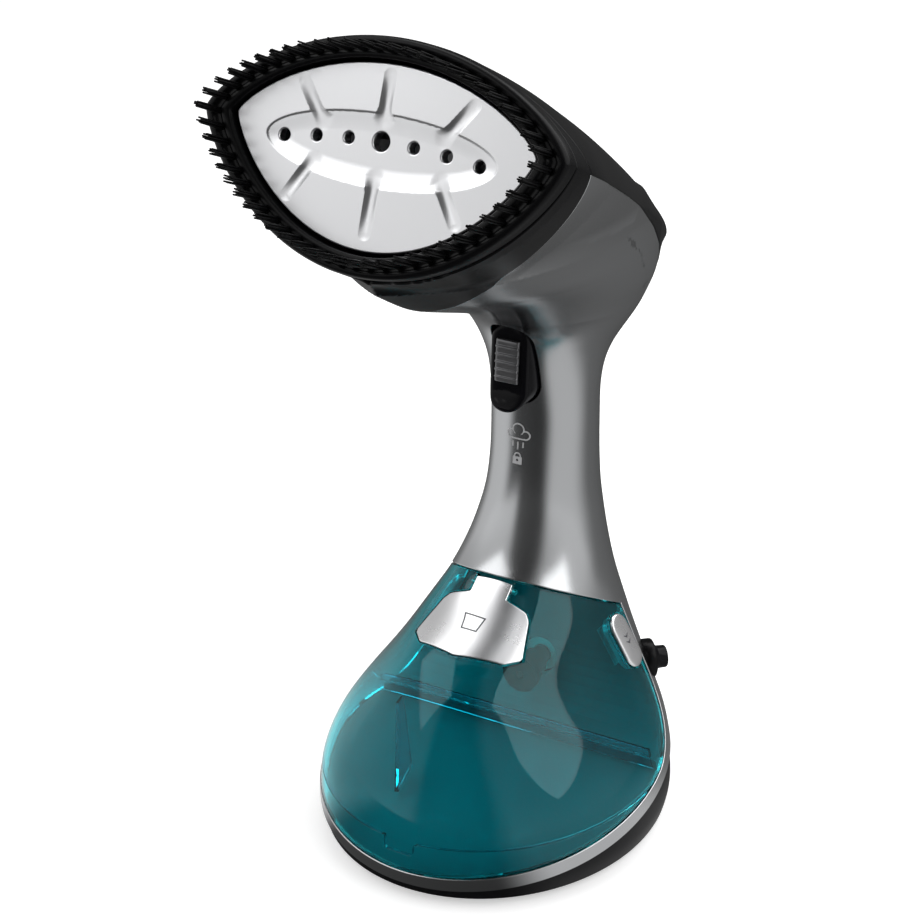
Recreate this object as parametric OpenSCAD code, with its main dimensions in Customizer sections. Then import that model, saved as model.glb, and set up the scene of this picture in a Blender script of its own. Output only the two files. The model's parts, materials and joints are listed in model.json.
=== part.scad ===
// Handheld garment steamer that stands on its base.
// Origin: centre of the base on the floor. The steam plate faces -Y, +Z is up, X = 0 is the middle.

/* [Body] */
// Width of the base at its widest line
base_w = 120; // [118:0.5:122]
// Depth of the base at its widest line
base_d = 132; // [130:0.5:134]
// Width of the handle where the hand holds it
handle_w = 36.4; // [35:0.2:38]
// Wall of the body shells
wall = 2.2; // [1.8:0.1:2.6]

/* [Head] */
// Height of the middle steam hole above the floor
face_z = 256.5; // [255:0.5:258]
// How far the middle steam hole is in front of the base centre
face_y = 59; // [58:0.5:60]
// How far the steam plate leans back from upright
face_tilt = 22; // [21:0.5:23]
// Width of the head at its rim
head_w = 120.6; // [119:0.2:122]

/* [Steam plate and brush] */
// Width of the steam plate
plate_w = 100; // [98:0.5:101]
// Distance between steam holes
hole_pitch = 10.8; // [10:0.1:11]
// Diameter of the small steam holes
small_hole_d = 3.6; // [3:0.1:4]
// Diameter of the middle steam hole
big_hole_d = 5.6; // [5:0.1:6]
// Number of bristle tufts
tuft_count = 54; // [40:2:60]
// How far the tufts stand out of the brush frame
tuft_len = 12; // [8:0.5:12.5]

/* [Water tank] */
// Wall of the tank
tank_wall = 2; // [1.8:0.1:2.4]
// Gap between the tank and the body
tank_gap = 0.5; // [0.4:0.1:0.8]

/* [Hidden] */

SIDES = 44;
INNER_SIDES = 28;
ring_step = 8;
big = 400;

// Body rings: height, front y, rear y, half width, y of the widest line
BODY = [
  [0, 3 - base_d/2, base_d/2 - 3, base_w/2 - 3, 0],
  [3, 1 - base_d/2, base_d/2 - 1, base_w/2 - 1, 0],
  [9, -base_d/2, base_d/2, base_w/2, 0],
  [20, 0.8 - base_d/2, base_d/2 - 0.6, base_w/2 - 0.8, 0],
  [30, -62.5, 64, 56.5, 3],
  [40, -57.5, 62, 50.8, 8],
  [50, -51, 60, 44, 15],
  [60, -43, 58.5, 37.6, 21],
  [70, -31, 57.5, 32, 25.5],
  [79, -10.5, 57, 27.4, 28.5],
  [87, 1, 56.6, 24.6, 30.5],
  [95, 7.5, 56.3, 22.2, 32.5],
  [112, 14.5, 56, handle_w/2 + 0.6, 35.5],
  [126, 17.2, 55.6, handle_w/2, 36.5],
  [142, 18.3, 55.6, handle_w/2, 37],
  [152, 17.5, 58, handle_w/2 + 0.6, 38],
  [160, 16, 63, 21, 40],
  [167, 14, 68, 25, 42],
  [174, 11, 71, 29.5, 42],
  [182, 0, 71.5, 33.5, 40],
  [190, -15, 70, 37, 36],
  [199, -40, 66, 38, 28],
  [206, -52, 60, 38, 20],
  [212, -61, 56, 38, 12]
];

// Head rings behind the steam plate: distance back, half width, rise above and drop below the
// side ridge, height of the ridge, power of the outline
HEAD = [
  [-2, head_w/2, 27.3, 40.8, 2, 1.5],
  [13, head_w/2 - 0.3, 27, 41, 1, 1.45],
  [40, 55.5, 26, 40, -2, 1.4],
  [80, 46, 21, 35, -5, 1.3],
  [110, 39.5, 16.5, 29, -9, 1.2],
  [126, 35.5, 13.5, 24, -11.5, 1.1],
  [136, 30.5, 11.5, 20, -13, 1.05],
  [143, 22.5, 8.5, 15, -14, 1],
  [147, 13, 5, 9, -14.5, 1],
  [149, 3, 1, 2, -15, 1]
];

// Planes that part the shells, each as [y, z] point and slope in the side view
joint_point = [2.3, 87.2];
joint_slope = -0.57;
band_top = 20.4;
band_low = 15.4;
band_slope = 0.15;
seam_z = 21.5;
spine_y = 33;
rear_seam_y = 44;
shroud_point = [-43.5, 226];
shroud_lean = 6;
ridge_line = [[-60, 259], [-20, 239], [13, 222], [34, 208], [44, 197], [50, 188], [58, 183], [90, 179]];

// Hinge of the filler flap, and the point and slope of the flap's own frame
hinge_y = 0.3;
hinge_z = 83.6;
hinge_r = 1;
flap_point = [-12, 79];
flap_slope = 30;

// Pin of the trigger, and the slider on the trigger's front
trigger_pin_y = 21.5;
trigger_pin_z = 171;
trigger_pin_r = 1.25;
slider_pos = [11, 162];
slider_tilt = 9;

// Release buttons, cord outlet, pump, handle screws, outlet valve and steam chamber
button_pos = [37, 25, 60.4];
button_lean = 30;
gland_pos = [37.5, 41, 45];
gland_turn = 42;
ball_r = 5.4;
pump_y = 38;
pump_z = 84;
screw_x = 10;
screw_z = 150;
valve_z = 40;
valve_seat = 20;
valve_r = 3.5;
chamber_depth = 16;

// Row of a table that position z falls after, and the slopes there
function row_at(t, z, i = 0) = i >= len(t) - 2 || z < t[i + 1][0] ? i : row_at(t, z, i + 1);
function secant(t, i, c) = (t[i + 1][c] - t[i][c]) / (t[i + 1][0] - t[i][0]);
function slope_at(t, i, c) =
  i == 0 ? secant(t, 0, c) :
  i == len(t) - 1 ? secant(t, i - 1, c) :
  let (a = secant(t, i - 1, c), b = secant(t, i, c))
  a * b <= 0 ? 0 : 2 * a * b / (a + b);

// Value of column c at position z in a table, by a smooth curve through its rows
function smooth(t, z, c) =
  let (i = row_at(t, z), h = t[i + 1][0] - t[i][0], u = (z - t[i][0]) / h)
  let (p = t[i][c], q = t[i + 1][c], m = slope_at(t, i, c) * h, n = slope_at(t, i + 1, c) * h)
  p * (2*pow(u, 3) - 3*u*u + 1) + q * (3*u*u - 2*pow(u, 3)) + m * (pow(u, 3) - 2*u*u + u)
  + n * (pow(u, 3) - u*u);

// A closed solid through rings that all have the same number of points
module loft(rings) {
  n = len(rings[0]);
  m = len(rings);
  points = [for (r = rings) each r];
  faces = [
    [for (k = [0:n - 1]) k],
    for (j = [0:m - 2], k = [0:n - 1]) [j*n + k, (j + 1)*n + (k + 1) % n, j*n + (k + 1) % n],
    for (j = [0:m - 2], k = [0:n - 1]) [j*n + k, (j + 1)*n + k, (j + 1)*n + (k + 1) % n],
    [for (k = [n - 1:-1:0]) (m - 1)*n + k]
  ];
  polyhedron(points, faces, convexity = 6);
}

// Inner faces take fewer sides than outer ones
function sides(inset) = inset > 1 ? INNER_SIDES : SIDES;

// The front of the body narrows to a nose under the head
function nose_power(z) = 1 + 0.8*min(1, max(0, (z - 178)/20));

function body_ring(z, inset) =
  let (yf = smooth(BODY, z, 1) + inset, yr = smooth(BODY, z, 2) - inset)
  let (w = smooth(BODY, z, 3) - inset, yw = smooth(BODY, z, 4), n = sides(inset))
  [for (k = [0:n - 1]) let (a = 360*k/n, m = sin(a) < 0 ? nose_power(z) : 1)
    [w*sign(cos(a))*pow(abs(cos(a)), m), yw + (sin(a) > 0 ? yr - yw : yw - yf)*sin(a), z]];

function steps(lo, hi, step) = [for (i = [0:ceil((hi - lo)/step)]) lo + (hi - lo)*i/ceil((hi - lo)/step)];

// Body from height lo to height hi, shrunk all round by inset
module body_form(inset = 0, lo = 0, hi = 212) {
  loft([for (z = steps(lo, hi, ring_step)) body_ring(z, inset)]);
}

// Lens outline of the head, steam plate and brush: points from half width, rise, drop and ridge
function lens(w, rise, drop, ridge, power, n = SIDES, keel = 1) =
  [for (k = [0:n - 1]) let (a = 360*k/n, s = sin(a))
    [w*cos(a), ridge + (s > 0 ? rise : -drop)*pow(abs(s), s > 0 ? power : power*keel)]];

// The lower half of the head turns from round at the plate to keel-shaped behind it
function keel_at(s) = 1 + 0.35*min(1, max(0, (s - 8)/30));

function head_ring(s, inset) =
  [for (p = lens(
      max(0.5, smooth(HEAD, s, 1) - inset), max(0.3, smooth(HEAD, s, 2) - inset),
      max(0.3, smooth(HEAD, s, 3) - inset), smooth(HEAD, s, 4), smooth(HEAD, s, 5),
      sides(inset), keel_at(s)))
    [p[0], p[1], -s]];

// Local frame of the head: X right, Y up the plate, Z out of the plate
module head_frame() {
  translate([0, -face_y, face_z]) rotate([90 - face_tilt, 0, 0]) children();
}

module head_form(inset = 0, from = -2) {
  stations = [for (s = [from, 20, 45, 70, 92, 110, 122, 131, 137.5, 142.5, 146, 148.2, 149])
    if (s < 149 - inset) s];
  head_frame() loft([for (i = [len(stations) - 1:-1:0]) head_ring(stations[i], inset)]);
}

module form(inset = 0, lo = 60) {
  body_form(inset, lo);
  head_form(inset);
}

// Everything above a sloping plane that rises along +Y by slope
module above(y, z, slope) {
  translate([0, y, z]) rotate([atan(slope), 0, 0])
    translate([-big/2, -big/2, 0]) cube([big, big, big]);
}

// Everything in front of the plane that ends the head shroud
module before_shroud(gap = 0) {
  translate([0, shroud_point[0] - gap, shroud_point[1]]) rotate([shroud_lean, 0, 0])
    translate([-big/2, -big, -big/2]) cube([big, big, big]);
}

// Side view region above the ridge line, moved up by gap
module over_ridge(gap = 0) {
  outline = concat([for (p = ridge_line) [p[0], p[1] + gap]], [[90, big], [-60, big]]);
  rotate([90, 0, 90]) translate([0, 0, -big/2]) linear_extrude(big) polygon(outline);
}

// Region of the tank in the side view, behind gap from the body's parting faces
module tank_region(gap) {
  difference() {
    translate([-big/2, -big/2, 0]) cube([big, big/2 + spine_y - gap, 120]);
    above(joint_point[0], joint_point[1] - gap/cos(atan(joint_slope)), joint_slope);
    mirror([0, 0, 1]) above(0, -band_top - gap, -band_slope);
    rear_corner(gap);
  }
}

// Rounded lower rear corner that the spine fills below the tank
module rear_corner(gap) {
  r = 22;
  z = band_top + band_slope*spine_y + gap;
  rotate([90, 0, 90]) translate([0, 0, -big/2]) linear_extrude(big) difference() {
    translate([spine_y - gap - r, z - 8]) square([r + 1, r + 8]);
    translate([spine_y - gap - r, z + r]) circle(r, $fn = 40);
  }
}

// Everything behind the handle's side seam
module behind_seam(gap = 0) {
  translate([-big/2, rear_seam_y + gap, 0]) cube([big, big, big]);
}

// Everything behind the seam, but for the screw posts that reach past it
module front_end() {
  difference() {
    behind_seam(-0.1);
    for (x = [-screw_x, screw_x]) translate([x - 3, 0, screw_z - 3]) cube([6, rear_seam_y + 3.4, 6]);
  }
}

// Local frame of a handle screw: Z runs back from the end of its post
module handle_screw_frame(side) {
  translate([side*screw_x, rear_seam_y + 3.7, screw_z]) rotate([-90, 0, 0]) children();
}

// Slab of the head frame in front of depth z
module head_front(z) {
  head_frame() translate([-big/2, -big/2, z]) cube([big, big, 60]);
}

// Cylinder along X, centred on the middle plane
module cross_rod(y, z, r, length, fn = 40) {
  translate([-length/2, y, z]) rotate([0, 90, 0]) cylinder(r = r, h = length, $fn = fn);
}

module stadium(length, width, fn = 40) {
  r = width/2;
  square([length - width, width], center = true);
  for (x = [-1, 1]) translate([x*(length - width)/2, 0]) circle(r, $fn = fn);
}

// Marks a shape that is all flat facets, so that it is taken whole as one mesh
module faceted() {
  resize([0, 0, 0]) children();
}

// ---- body shells ----

module trigger_outline(gap) {
  translate([0, 160]) rotate(90) stadium(30.4 + 2*gap, 14.4 + 2*gap, 24);
}

// Extrudes a front view outline back through the neck
module from_front(depth = 34) {
  translate([0, depth, 0]) rotate([90, 0, 0]) linear_extrude(depth + 20) children();
}

module front_shell() {
  color([0.42, 0.43, 0.44]) faceted() difference() {
    intersection() {
      difference() {
        form(0, 60);
        difference() {
          form(wall, 59);
          neck_ribs();
        }
      }
      above(joint_point[0], joint_point[1], joint_slope);
    }
    front_end();
    before_shroud();
    over_ridge(-0.1);
    from_front() trigger_outline(0.5);
    for (side = [-1, 1]) handle_screw_frame(side) translate([0, 0, -12]) cylinder(r = 1.3, h = 13, $fn = 20);
  }
}

// Ears that hold the trigger pin, and posts that take the handle screws
module neck_ribs() {
  difference() {
    intersection() {
      body_form(1, 142, 182);
      union() {
        for (side = [0, 1]) mirror([side, 0, 0]) {
          translate([9.9, 0, trigger_pin_z - 5]) cube([3.1, trigger_pin_y + 4, 10]);
          translate([screw_x - 3, 30, screw_z - 3]) cube([20, rear_seam_y - 30, 6]);
        }
      }
    }
    cross_rod(trigger_pin_y, trigger_pin_z, trigger_pin_r + 0.03, 40, 24);
  }
  intersection() {
    body_form(wall + 0.4, 142, 182);
    for (side = [0, 1]) mirror([side, 0, 0])
      translate([screw_x - 3, rear_seam_y - 1, screw_z - 3]) cube([6, 4.4, 6]);
  }
}

module rear_shell() {
  color([0.42, 0.43, 0.44]) faceted() difference() {
    form(0, 4);
    difference() {
      form(wall, 3);
      for (side = [-1, 1]) handle_screw_frame(side) cylinder(r = 3.6, h = 20, $fn = 20);
    }
    mirror([0, 0, 1]) above(0, -band_low, -band_slope);
    tank_region(0);
    difference() {
      above(joint_point[0], joint_point[1] - 0.2, joint_slope);
      behind_seam(0.1);
    }
    over_ridge(-0.1);
    before_shroud();
    gland_frame() translate([0, 0, -4]) cylinder(r = ball_r + 1.8, h = 30, $fn = 28);
    for (side = [-1, 1]) handle_screw_frame(side) {
      cylinder(r = 1.6, h = 20, $fn = 20);
      translate([0, 0, 4]) cylinder(r = 2.6, h = 20, $fn = 20);
    }
  }
}

module head_cover() {
  color([0.02, 0.02, 0.02]) faceted() difference() {
    intersection() {
      head_form(-0.7, 0);
      over_ridge(0.1);
    }
    head_form(wall, -4);
    before_shroud(-0.1);
    head_front(-3.2);
  }
}

module head_shroud() {
  color([0.03, 0.03, 0.03]) faceted() difference() {
    intersection() {
      union() {
        head_form(0.1, -2);
        body_form(0.1, 190, 212);
      }
      before_shroud(0.2);
    }
    difference() {
      union() {
        head_form(wall, -9);
        body_form(wall, 189, 214);
      }
      head_front(-6.5);
    }
    head_front(-3.2);
    head_frame() translate([0, 0, -20]) linear_extrude(40) polygon(plate_outline(0.5));
  }
}

module foot() {
  color([0.05, 0.05, 0.05]) faceted() difference() {
    intersection() {
      body_form(0.7, 1.5, 34);
      mirror([0, 0, 1]) above(0, -band_low + 0.2, -band_slope);
    }
    body_form(3, 5, 40);
    base_screw_rows() translate([0, 0, -1]) cylinder(r = 1.7, h = 12, $fn = 24);
  }
}

module sole_pad() {
  color([0.09, 0.09, 0.09]) difference() {
    loft([for (z = [0, 1.4]) [for (p = body_ring(0, 5)) [p[0], p[1], z]]]);
    base_screw_rows() translate([0, 0, -1]) cylinder(r = 3.4, h = 12, $fn = 32);
  }
}

module tank_cradle() {
  color([0.1, 0.1, 0.1]) faceted() difference() {
    union() {
      intersection() {
        body_form(wall + 0.3, 8, 98);
        tank_region(-2.2);
      }
      for (x = [-34, 34], p = [[-30, 9.7], [24, 23]]) translate([x, p[0], 5.2])
        cylinder(r = 4, h = p[1], $fn = 20);
    }
    tank_region(-0.2);
    gland_frame() translate([0, 0, -4]) cylinder(r = ball_r + 1.8, h = 30, $fn = 28);
    base_screw_rows() cylinder(r = 1.7, h = 13.2, $fn = 20);
    translate([0, spine_y - 10, valve_z]) rotate([-90, 0, 0]) cylinder(r = 6.5, h = 20, $fn = 32);
  }
}

// ---- steam head ----

function plate_outline(gap) = lens(plate_w/2 + gap, 20.1 + gap, 33.6 + gap, 2, 1.55);
function dish_outline() = lens(38.5, 10.4, 11.1, -2.2, 1.05);

function hole_drop(k) = -0.27*k*k*hole_pitch/10.8;

module steam_holes(r_extra = 0) {
  for (k = [-3:3])
    translate([k*hole_pitch, hole_drop(k), -6])
      cylinder(r = (k == 0 ? big_hole_d : small_hole_d)/2 + r_extra, h = 12, $fn = 32);
}

// Shallow channel from point a to point b of the plate
module groove(a, b) {
  d = b - a;
  translate([(a[0] + b[0])/2, (a[1] + b[1])/2, -0.7]) rotate([0, 0, atan2(d[1], d[0])])
    linear_extrude(3) stadium(norm(d) + 3.2, 3.2, 32);
}

module steam_plate() {
  color([0.85, 0.86, 0.87]) head_frame() difference() {
    translate([0, 0, -4.5]) linear_extrude(4.7) polygon(plate_outline(0));
    translate([0, -2.4, 14.4]) intersection() {
      rotate([0, 90, 0]) cylinder(r = 16.2, h = 90, center = true, $fn = 96);
      translate([0, 2.4, -20]) linear_extrude(30) polygon(dish_outline());
    }
    groove([0, 6], [0, 18]);
    groove([0, -10], [0, -25.5]);
    for (side = [-1, 1]) {
      groove([side*20, 3], [side*27.6, 13]);
      groove([side*21, -8], [side*27.6, -18.5]);
    }
    steam_holes();
  }
}

module plate_gasket() {
  color([0.25, 0.1, 0.08]) head_frame() translate([0, 0, -6.4]) difference() {
    linear_extrude(1.8) polygon(plate_outline(-1.5));
    translate([0, 0, -1]) linear_extrude(4) polygon(plate_outline(-5));
  }
}

module steam_chamber() {
  color([0.6, 0.61, 0.62]) head_frame() translate([0, 0, -6.6 - chamber_depth]) difference() {
    linear_extrude(chamber_depth) polygon(plate_outline(-3));
    translate([0, 0, 3]) linear_extrude(chamber_depth) polygon(plate_outline(-9));
    translate([0, -6, -1]) cylinder(r = 2.5, h = 6, $fn = 32);
  }
}

module chamber_lid() {
  color([0.55, 0.56, 0.57]) head_frame() translate([0, 0, -6.6 - chamber_depth - 2.2])
    difference() {
      linear_extrude(2) polygon(plate_outline(-3.5));
      translate([0, -6, -1]) cylinder(r = 2.5, h = 6, $fn = 32);
      for (x = [-34, 34]) translate([x, 0, -1]) cylinder(r = 2.2, h = 6, $fn = 32);
    }
}

module heating_element() {
  bend = 8;
  color([0.35, 0.33, 0.31]) head_frame() translate([0, -4, 7 - 6.6 - chamber_depth]) {
    for (y = [-bend, bend]) translate([-24, y, 0]) rotate([0, 90, 0]) cylinder(r = 2.9, h = 44, $fn = 32);
    translate([20, 0, 0]) rotate([0, 0, -90]) rotate_extrude(angle = 180, $fn = 64)
      translate([bend, 0]) circle(2.9, $fn = 32);
  }
}

module thermostat() {
  color([0.8, 0.78, 0.7]) head_frame() translate([16, 6, -6.6 - chamber_depth - 11.4]) {
    cylinder(r = 7, h = 9, $fn = 48);
    for (x = [-4, 4]) translate([x - 1.5, -0.4, -5]) cube([3, 0.8, 5.01]);
  }
}

module thermal_fuse() {
  color([0.85, 0.85, 0.8]) head_frame() translate([-26, 4, -6.6 - chamber_depth - 4.6])
    rotate([0, 90, 0]) {
      cylinder(r = 2.2, h = 16, $fn = 32);
      translate([0, 0, -8]) cylinder(r = 0.6, h = 32, $fn = 24);
    }
}

module chamber_brackets() {
  color([0.7, 0.7, 0.68]) head_frame() for (x = [-1, 1])
    translate([x*40 - 4, -9, -6.6 - chamber_depth - 6.4]) difference() {
      cube([8, 12, 4]);
      translate([4, 6, -1]) cylinder(r = 1.6, h = 6, $fn = 24);
    }
}

// ---- brush ----

module brush_frame() {
  color([0.04, 0.04, 0.04]) head_frame() difference() {
    translate([0, 0, -2.9]) linear_extrude(5.4) polygon(lens(head_w/2, 27.3, 40.8, 2, 1.5));
    translate([0, 0, -9]) linear_extrude(20) polygon(plate_outline(0.8));
    translate([0, 0, 1.5]) linear_extrude(5) difference() {
      polygon(lens(57.6, 24.6, 38.1, 2, 1.5));
      polygon(lens(52.4, 21.7, 35.4, 2, 1.5));
    }
  }
}

function tuft_line(a) = [55.2*cos(a), 2 + (sin(a) > 0 ? 23.3 : -36.8)*pow(abs(sin(a)), 1.5)];
// The line in short steps, and the length of line up to each with the angle it is at
tuft_steps = 240;
TUFT_LINE = [for (i = [0:tuft_steps]) tuft_line(360*i/tuft_steps)];
TUFT_RUN = [for (i = 0, run = 0; i <= tuft_steps;
  run = run + norm(TUFT_LINE[min(i + 1, tuft_steps)] - TUFT_LINE[i]), i = i + 1) [run, 360*i/tuft_steps]];
// Angle of tuft k, so that the tufts stand evenly along the line
function tuft_angle(k) = lookup((k + 0.5)*TUFT_RUN[tuft_steps][0]/tuft_count, TUFT_RUN);

module bristles() {
  color([0.03, 0.03, 0.03]) head_frame() for (k = [0:tuft_count - 1]) let (p = tuft_line(tuft_angle(k)))
    translate([p[0], p[1], 1.55]) rotate([-3, 0, 0]) cylinder(r = 0.75, h = tuft_len, $fn = 16);
}

// ---- trigger ----

module trigger_side() {
  polygon([[13, 174.8], [11.6, 169], [10.9, 162], [9.6, 154], [6.9, 150], [5.9, 147.6], [7, 145.6],
    [17, 146.4], [22, 152], [24.4, 164], [25.4, 171], [23.4, 174.8]]);
}

module trigger() {
  color([0.02, 0.02, 0.02]) difference() {
    intersection() {
      rotate([90, 0, 90]) translate([0, 0, -7.2]) linear_extrude(14.4) trigger_side();
      from_front() trigger_outline(0);
    }
    cross_rod(trigger_pin_y, trigger_pin_z, trigger_pin_r + 0.05, 30);
    slider_slot();
    slider_frame() translate([-4.6, -12.6, 0.1]) cube([9.2, 20.2, 10]);
  }
}

module trigger_pin() {
  color([0.7, 0.7, 0.7]) cross_rod(trigger_pin_y, trigger_pin_z, trigger_pin_r, 25);
}

module trigger_spring() {
  color([0.75, 0.75, 0.75]) for (x = [-9.6, 8.6]) translate([x, trigger_pin_y, trigger_pin_z])
    rotate([0, 90, 0]) rotate_extrude($fn = 48) translate([1.9, 0.5]) circle(0.45, $fn = 16);
}

module slider_frame() {
  translate([0, slider_pos[0], slider_pos[1]]) rotate([90 - slider_tilt, 0, 0]) children();
}

module slider_slot() {
  slider_frame() translate([0, -2.5, -3.6]) linear_extrude(20) rotate(90) stadium(17, 4.4);
}

module lock_slider() {
  color([0.25, 0.25, 0.26]) slider_frame() {
    difference() {
      translate([-4.2, -7.2, 0.35]) cube([8.4, 14.4, 1.9]);
      for (y = [-3.6, -0.4, 2.8]) translate([-5, y, 2.0]) cube([10, 0.5, 1]);
    }
    translate([0, 0, -3.2]) linear_extrude(3.6) rotate(90) stadium(11, 3.8);
  }
}

module microswitch() {
  color([0.1, 0.1, 0.1]) translate([-3.2, 29, 150]) difference() {
    cube([6.4, 10, 20]);
    for (z = [5, 15]) translate([-1, 6.5, z]) rotate([0, 90, 0]) cylinder(r = 1.2, h = 9, $fn = 24);
    translate([3.2, -1, 10]) rotate([-90, 0, 0]) cylinder(r = 1.3, h = 6, $fn = 24);
  }
}

module switch_plunger() {
  color([0.75, 0.1, 0.08]) translate([0, 24, 160]) rotate([-90, 0, 0])
    cylinder(r = 1.2, h = 6.4, $fn = 24);
}

// Thin print on the handle, between two skins of the body
module handle_print() {
  intersection() {
    difference() {
      body_form(-0.18, 112, 142);
      body_form(-0.05, 112, 142);
    }
    translate([0, 34, 0]) rotate([90, 0, 0]) linear_extrude(30) children();
  }
}

module steam_mark() {
  color([0.8, 0.8, 0.8]) faceted() handle_print() {
    translate([0, 133.6]) difference() {
      cloud(0);
      cloud(0.45);
    }
    for (x = [-1.9, 0, 1.9]) translate([x - 0.22, 128.9]) square([0.44, 2.6 + abs(x)/3]);
    translate([0, 124.6]) difference() {
      translate([-1.6, -1.2]) square([3.2, 2.4]);
      circle(0.4, $fn = 12);
    }
    translate([0, 125.8]) difference() {
      circle(1.2, $fn = 16);
      circle(0.8, $fn = 16);
      translate([-2, -3]) square([4, 3]);
    }
  }
}

module cloud(inset) {
  for (c = [[-2.7, -0.6, 1.7], [0, 1.2, 2.3], [2.7, -0.6, 1.7]])
    translate([c[0], c[1]]) circle(c[2] - inset, $fn = 16);
  translate([-2.7, -2.3 + inset]) square([5.4, 2.4]);
}

// ---- water tank ----

module tank_solid(inset) {
  intersection() {
    body_form(0.3 + inset, 8, 98);
    tank_region(tank_gap + inset);
  }
}

module upper_part() {
  translate([-big/2, -big/2, seam_z]) cube([big, big, big]);
  translate([-5.4, -big/2, seam_z - 4.5]) cube([10.8, big/2, 10]);
}

// Local frame of the filler flap: Y up the flap, Z out of the tank
module flap_frame() {
  translate([0, flap_point[0], flap_point[1]]) rotate([flap_slope, 0, 0]) children();
}

module flap_outline(grow) {
  offset(delta = grow) offset(r = 2, $fn = 12) offset(delta = -2) polygon([
    [6.8, 17.5], [7, 8.8], [14.6, 7.4], [16.6, 5], [20.6, -9], [16, -13.6], [0, -16.6],
    [-16, -13.6], [-20.6, -9], [-16.6, 5], [-14.6, 7.4], [-7, 8.8], [-6.8, 17.5]]);
}

module flap_column(grow) {
  flap_frame() translate([0, 0, -14]) linear_extrude(30) flap_outline(grow);
}

module filler_hole(r, top, depth, fn) {
  flap_frame() translate([0, -4, top - depth]) cylinder(r = r, h = depth, $fn = fn);
}

module button_frame(side) {
  mirror([side < 0 ? 1 : 0, 0, 0]) translate(button_pos) rotate([0, 90 - button_lean, 0]) children();
}

module button_pocket(grow, depth) {
  for (side = [-1, 1]) button_frame(side) translate([0, 0, -depth])
    linear_extrude(depth + 10) stadium(20 + 2*grow, 9.6 + 2*grow, 20);
}

// Solid places inside the tank that carry the filler, its hinge and the buttons
module tank_bosses() {
  difference() {
    flap_column(2.2);
    body_form(5.4, 8, 98);
  }
  button_pocket(1.8, 10);
  cross_rod(hinge_y, hinge_z, 4.8, 19, 20);
  filler_hole(9.5, 0, 9, 24);
  translate([0, valve_seat, valve_z]) rotate([-90, 0, 0]) cylinder(r = 7.2, h = 20, $fn = 28);
}

module tank_shell() {
  color([0, 0.45, 0.5, 0.6]) faceted() difference() {
    difference() {
      tank_solid(0);
      difference() {
        tank_solid(tank_wall);
        tank_bosses();
      }
      lower_cut();
      difference() {
        flap_column(0.35);
        body_form(2.6, 8, 98);
      }
      button_pocket(0.4, 8.2);
      cross_rod(hinge_y, hinge_z, 3.4, 14.4, 24);
      cross_rod(hinge_y, hinge_z, hinge_r + 0.03, 17, 24);
      filler_hole(7.05, 5, 20, 40);
      translate([0, valve_seat - 5, valve_z]) rotate([-90, 0, 0]) cylinder(r = 5.02, h = 25, $fn = 40);
    }
  }
}

// Space below the tank's seam, clear of the tab at the front
module lower_cut() {
  translate([-big/2, -big/2, -60]) cube([big, big, 60 + seam_z - 4.5]);
  for (side = [0, 1]) mirror([side, 0, 0]) translate([5.4, -big/2, 0]) cube([big, big, seam_z]);
  translate([-big/2, 0, 0]) cube([big, big, seam_z]);
}

module tank_base() {
  color([0, 0.4, 0.45, 0.6]) faceted() difference() {
    tank_solid(0);
    tank_solid(tank_wall);
    translate([0, 0, -0.05]) upper_part();
  }
}

module tank_baffle() {
  color([0, 0.4, 0.45, 0.6]) faceted() intersection() {
    tank_solid(tank_wall + 0.05);
    union() {
      translate([-19.5, -30, 10]) rotate([0, 0, 12])
        linear_extrude(40, scale = [0.5, 0.3]) square([1.6, 16], center = true);
      translate([-big/2, 8, 10]) cube([big, 1.6, 20.5]);
    }
  }
}

module outlet_valve() {
  color([0.15, 0.15, 0.16]) translate([0, 0, valve_z]) rotate([-90, 0, 0]) difference() {
    union() {
      translate([0, 0, valve_seat - 3.1]) cylinder(r = 6.8, h = 3, $fn = 48);
      translate([0, 0, valve_seat - 0.2]) cylinder(r = 4.9, h = 8, $fn = 48);
      translate([0, 0, valve_seat + 7.7]) cylinder(r = valve_r, h = 12.8, $fn = 48);
    }
    translate([0, 0, valve_seat - 5]) cylinder(r = 1.6, h = 40, $fn = 32);
  }
}

module valve_seal() {
  color([0.3, 0.3, 0.3]) translate([0, spine_y + 4.2, valve_z]) rotate([-90, 0, 0])
    rotate_extrude($fn = 64) translate([valve_r + 0.9, 0]) circle(0.8, $fn = 24);
}

module valve_socket() {
  color([0.6, 0.6, 0.58]) translate([0, spine_y + 0.5, valve_z]) rotate([-90, 0, 0]) difference() {
    union() {
      cylinder(r = 6.4, h = 10, $fn = 48);
      cylinder(r = 3, h = 14.5, $fn = 40);
    }
    translate([0, 0, -1]) cylinder(r = valve_r + 0.08, h = 9.4, $fn = 48);
    translate([0, 0, 2.8]) cylinder(r = valve_r + 1.8, h = 1.8, $fn = 48);
    translate([0, 0, 2]) cylinder(r = 1.6, h = 20, $fn = 32);
  }
}

module filler_flap() {
  color([0.75, 0.76, 0.77]) faceted() difference() {
    union() {
      difference() {
        intersection() {
          flap_column(0);
          body_form(-0.1, 8, 98);
          flap_frame() translate([-30, -30, -14]) cube([60, 44.2, 40]);
        }
        body_form(1.7, 7, 99);
      }
      cross_rod(hinge_y, hinge_z, 2.4, 13.4, 24);
      filler_hole(5.6, -0.9, 2.4, 24);
    }
    cross_rod(hinge_y, hinge_z, hinge_r + 0.06, 30, 24);
  }
}

module flap_pin() {
  color([0.7, 0.7, 0.7]) cross_rod(hinge_y, hinge_z, hinge_r, 16.8);
}

module filler_plug() {
  color([0.85, 0.85, 0.85]) flap_frame() translate([0, -4, 0]) {
    translate([0, 0, -6.2]) cylinder(r = 6.8, h = 2.8, $fn = 64);
  }
}

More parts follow.
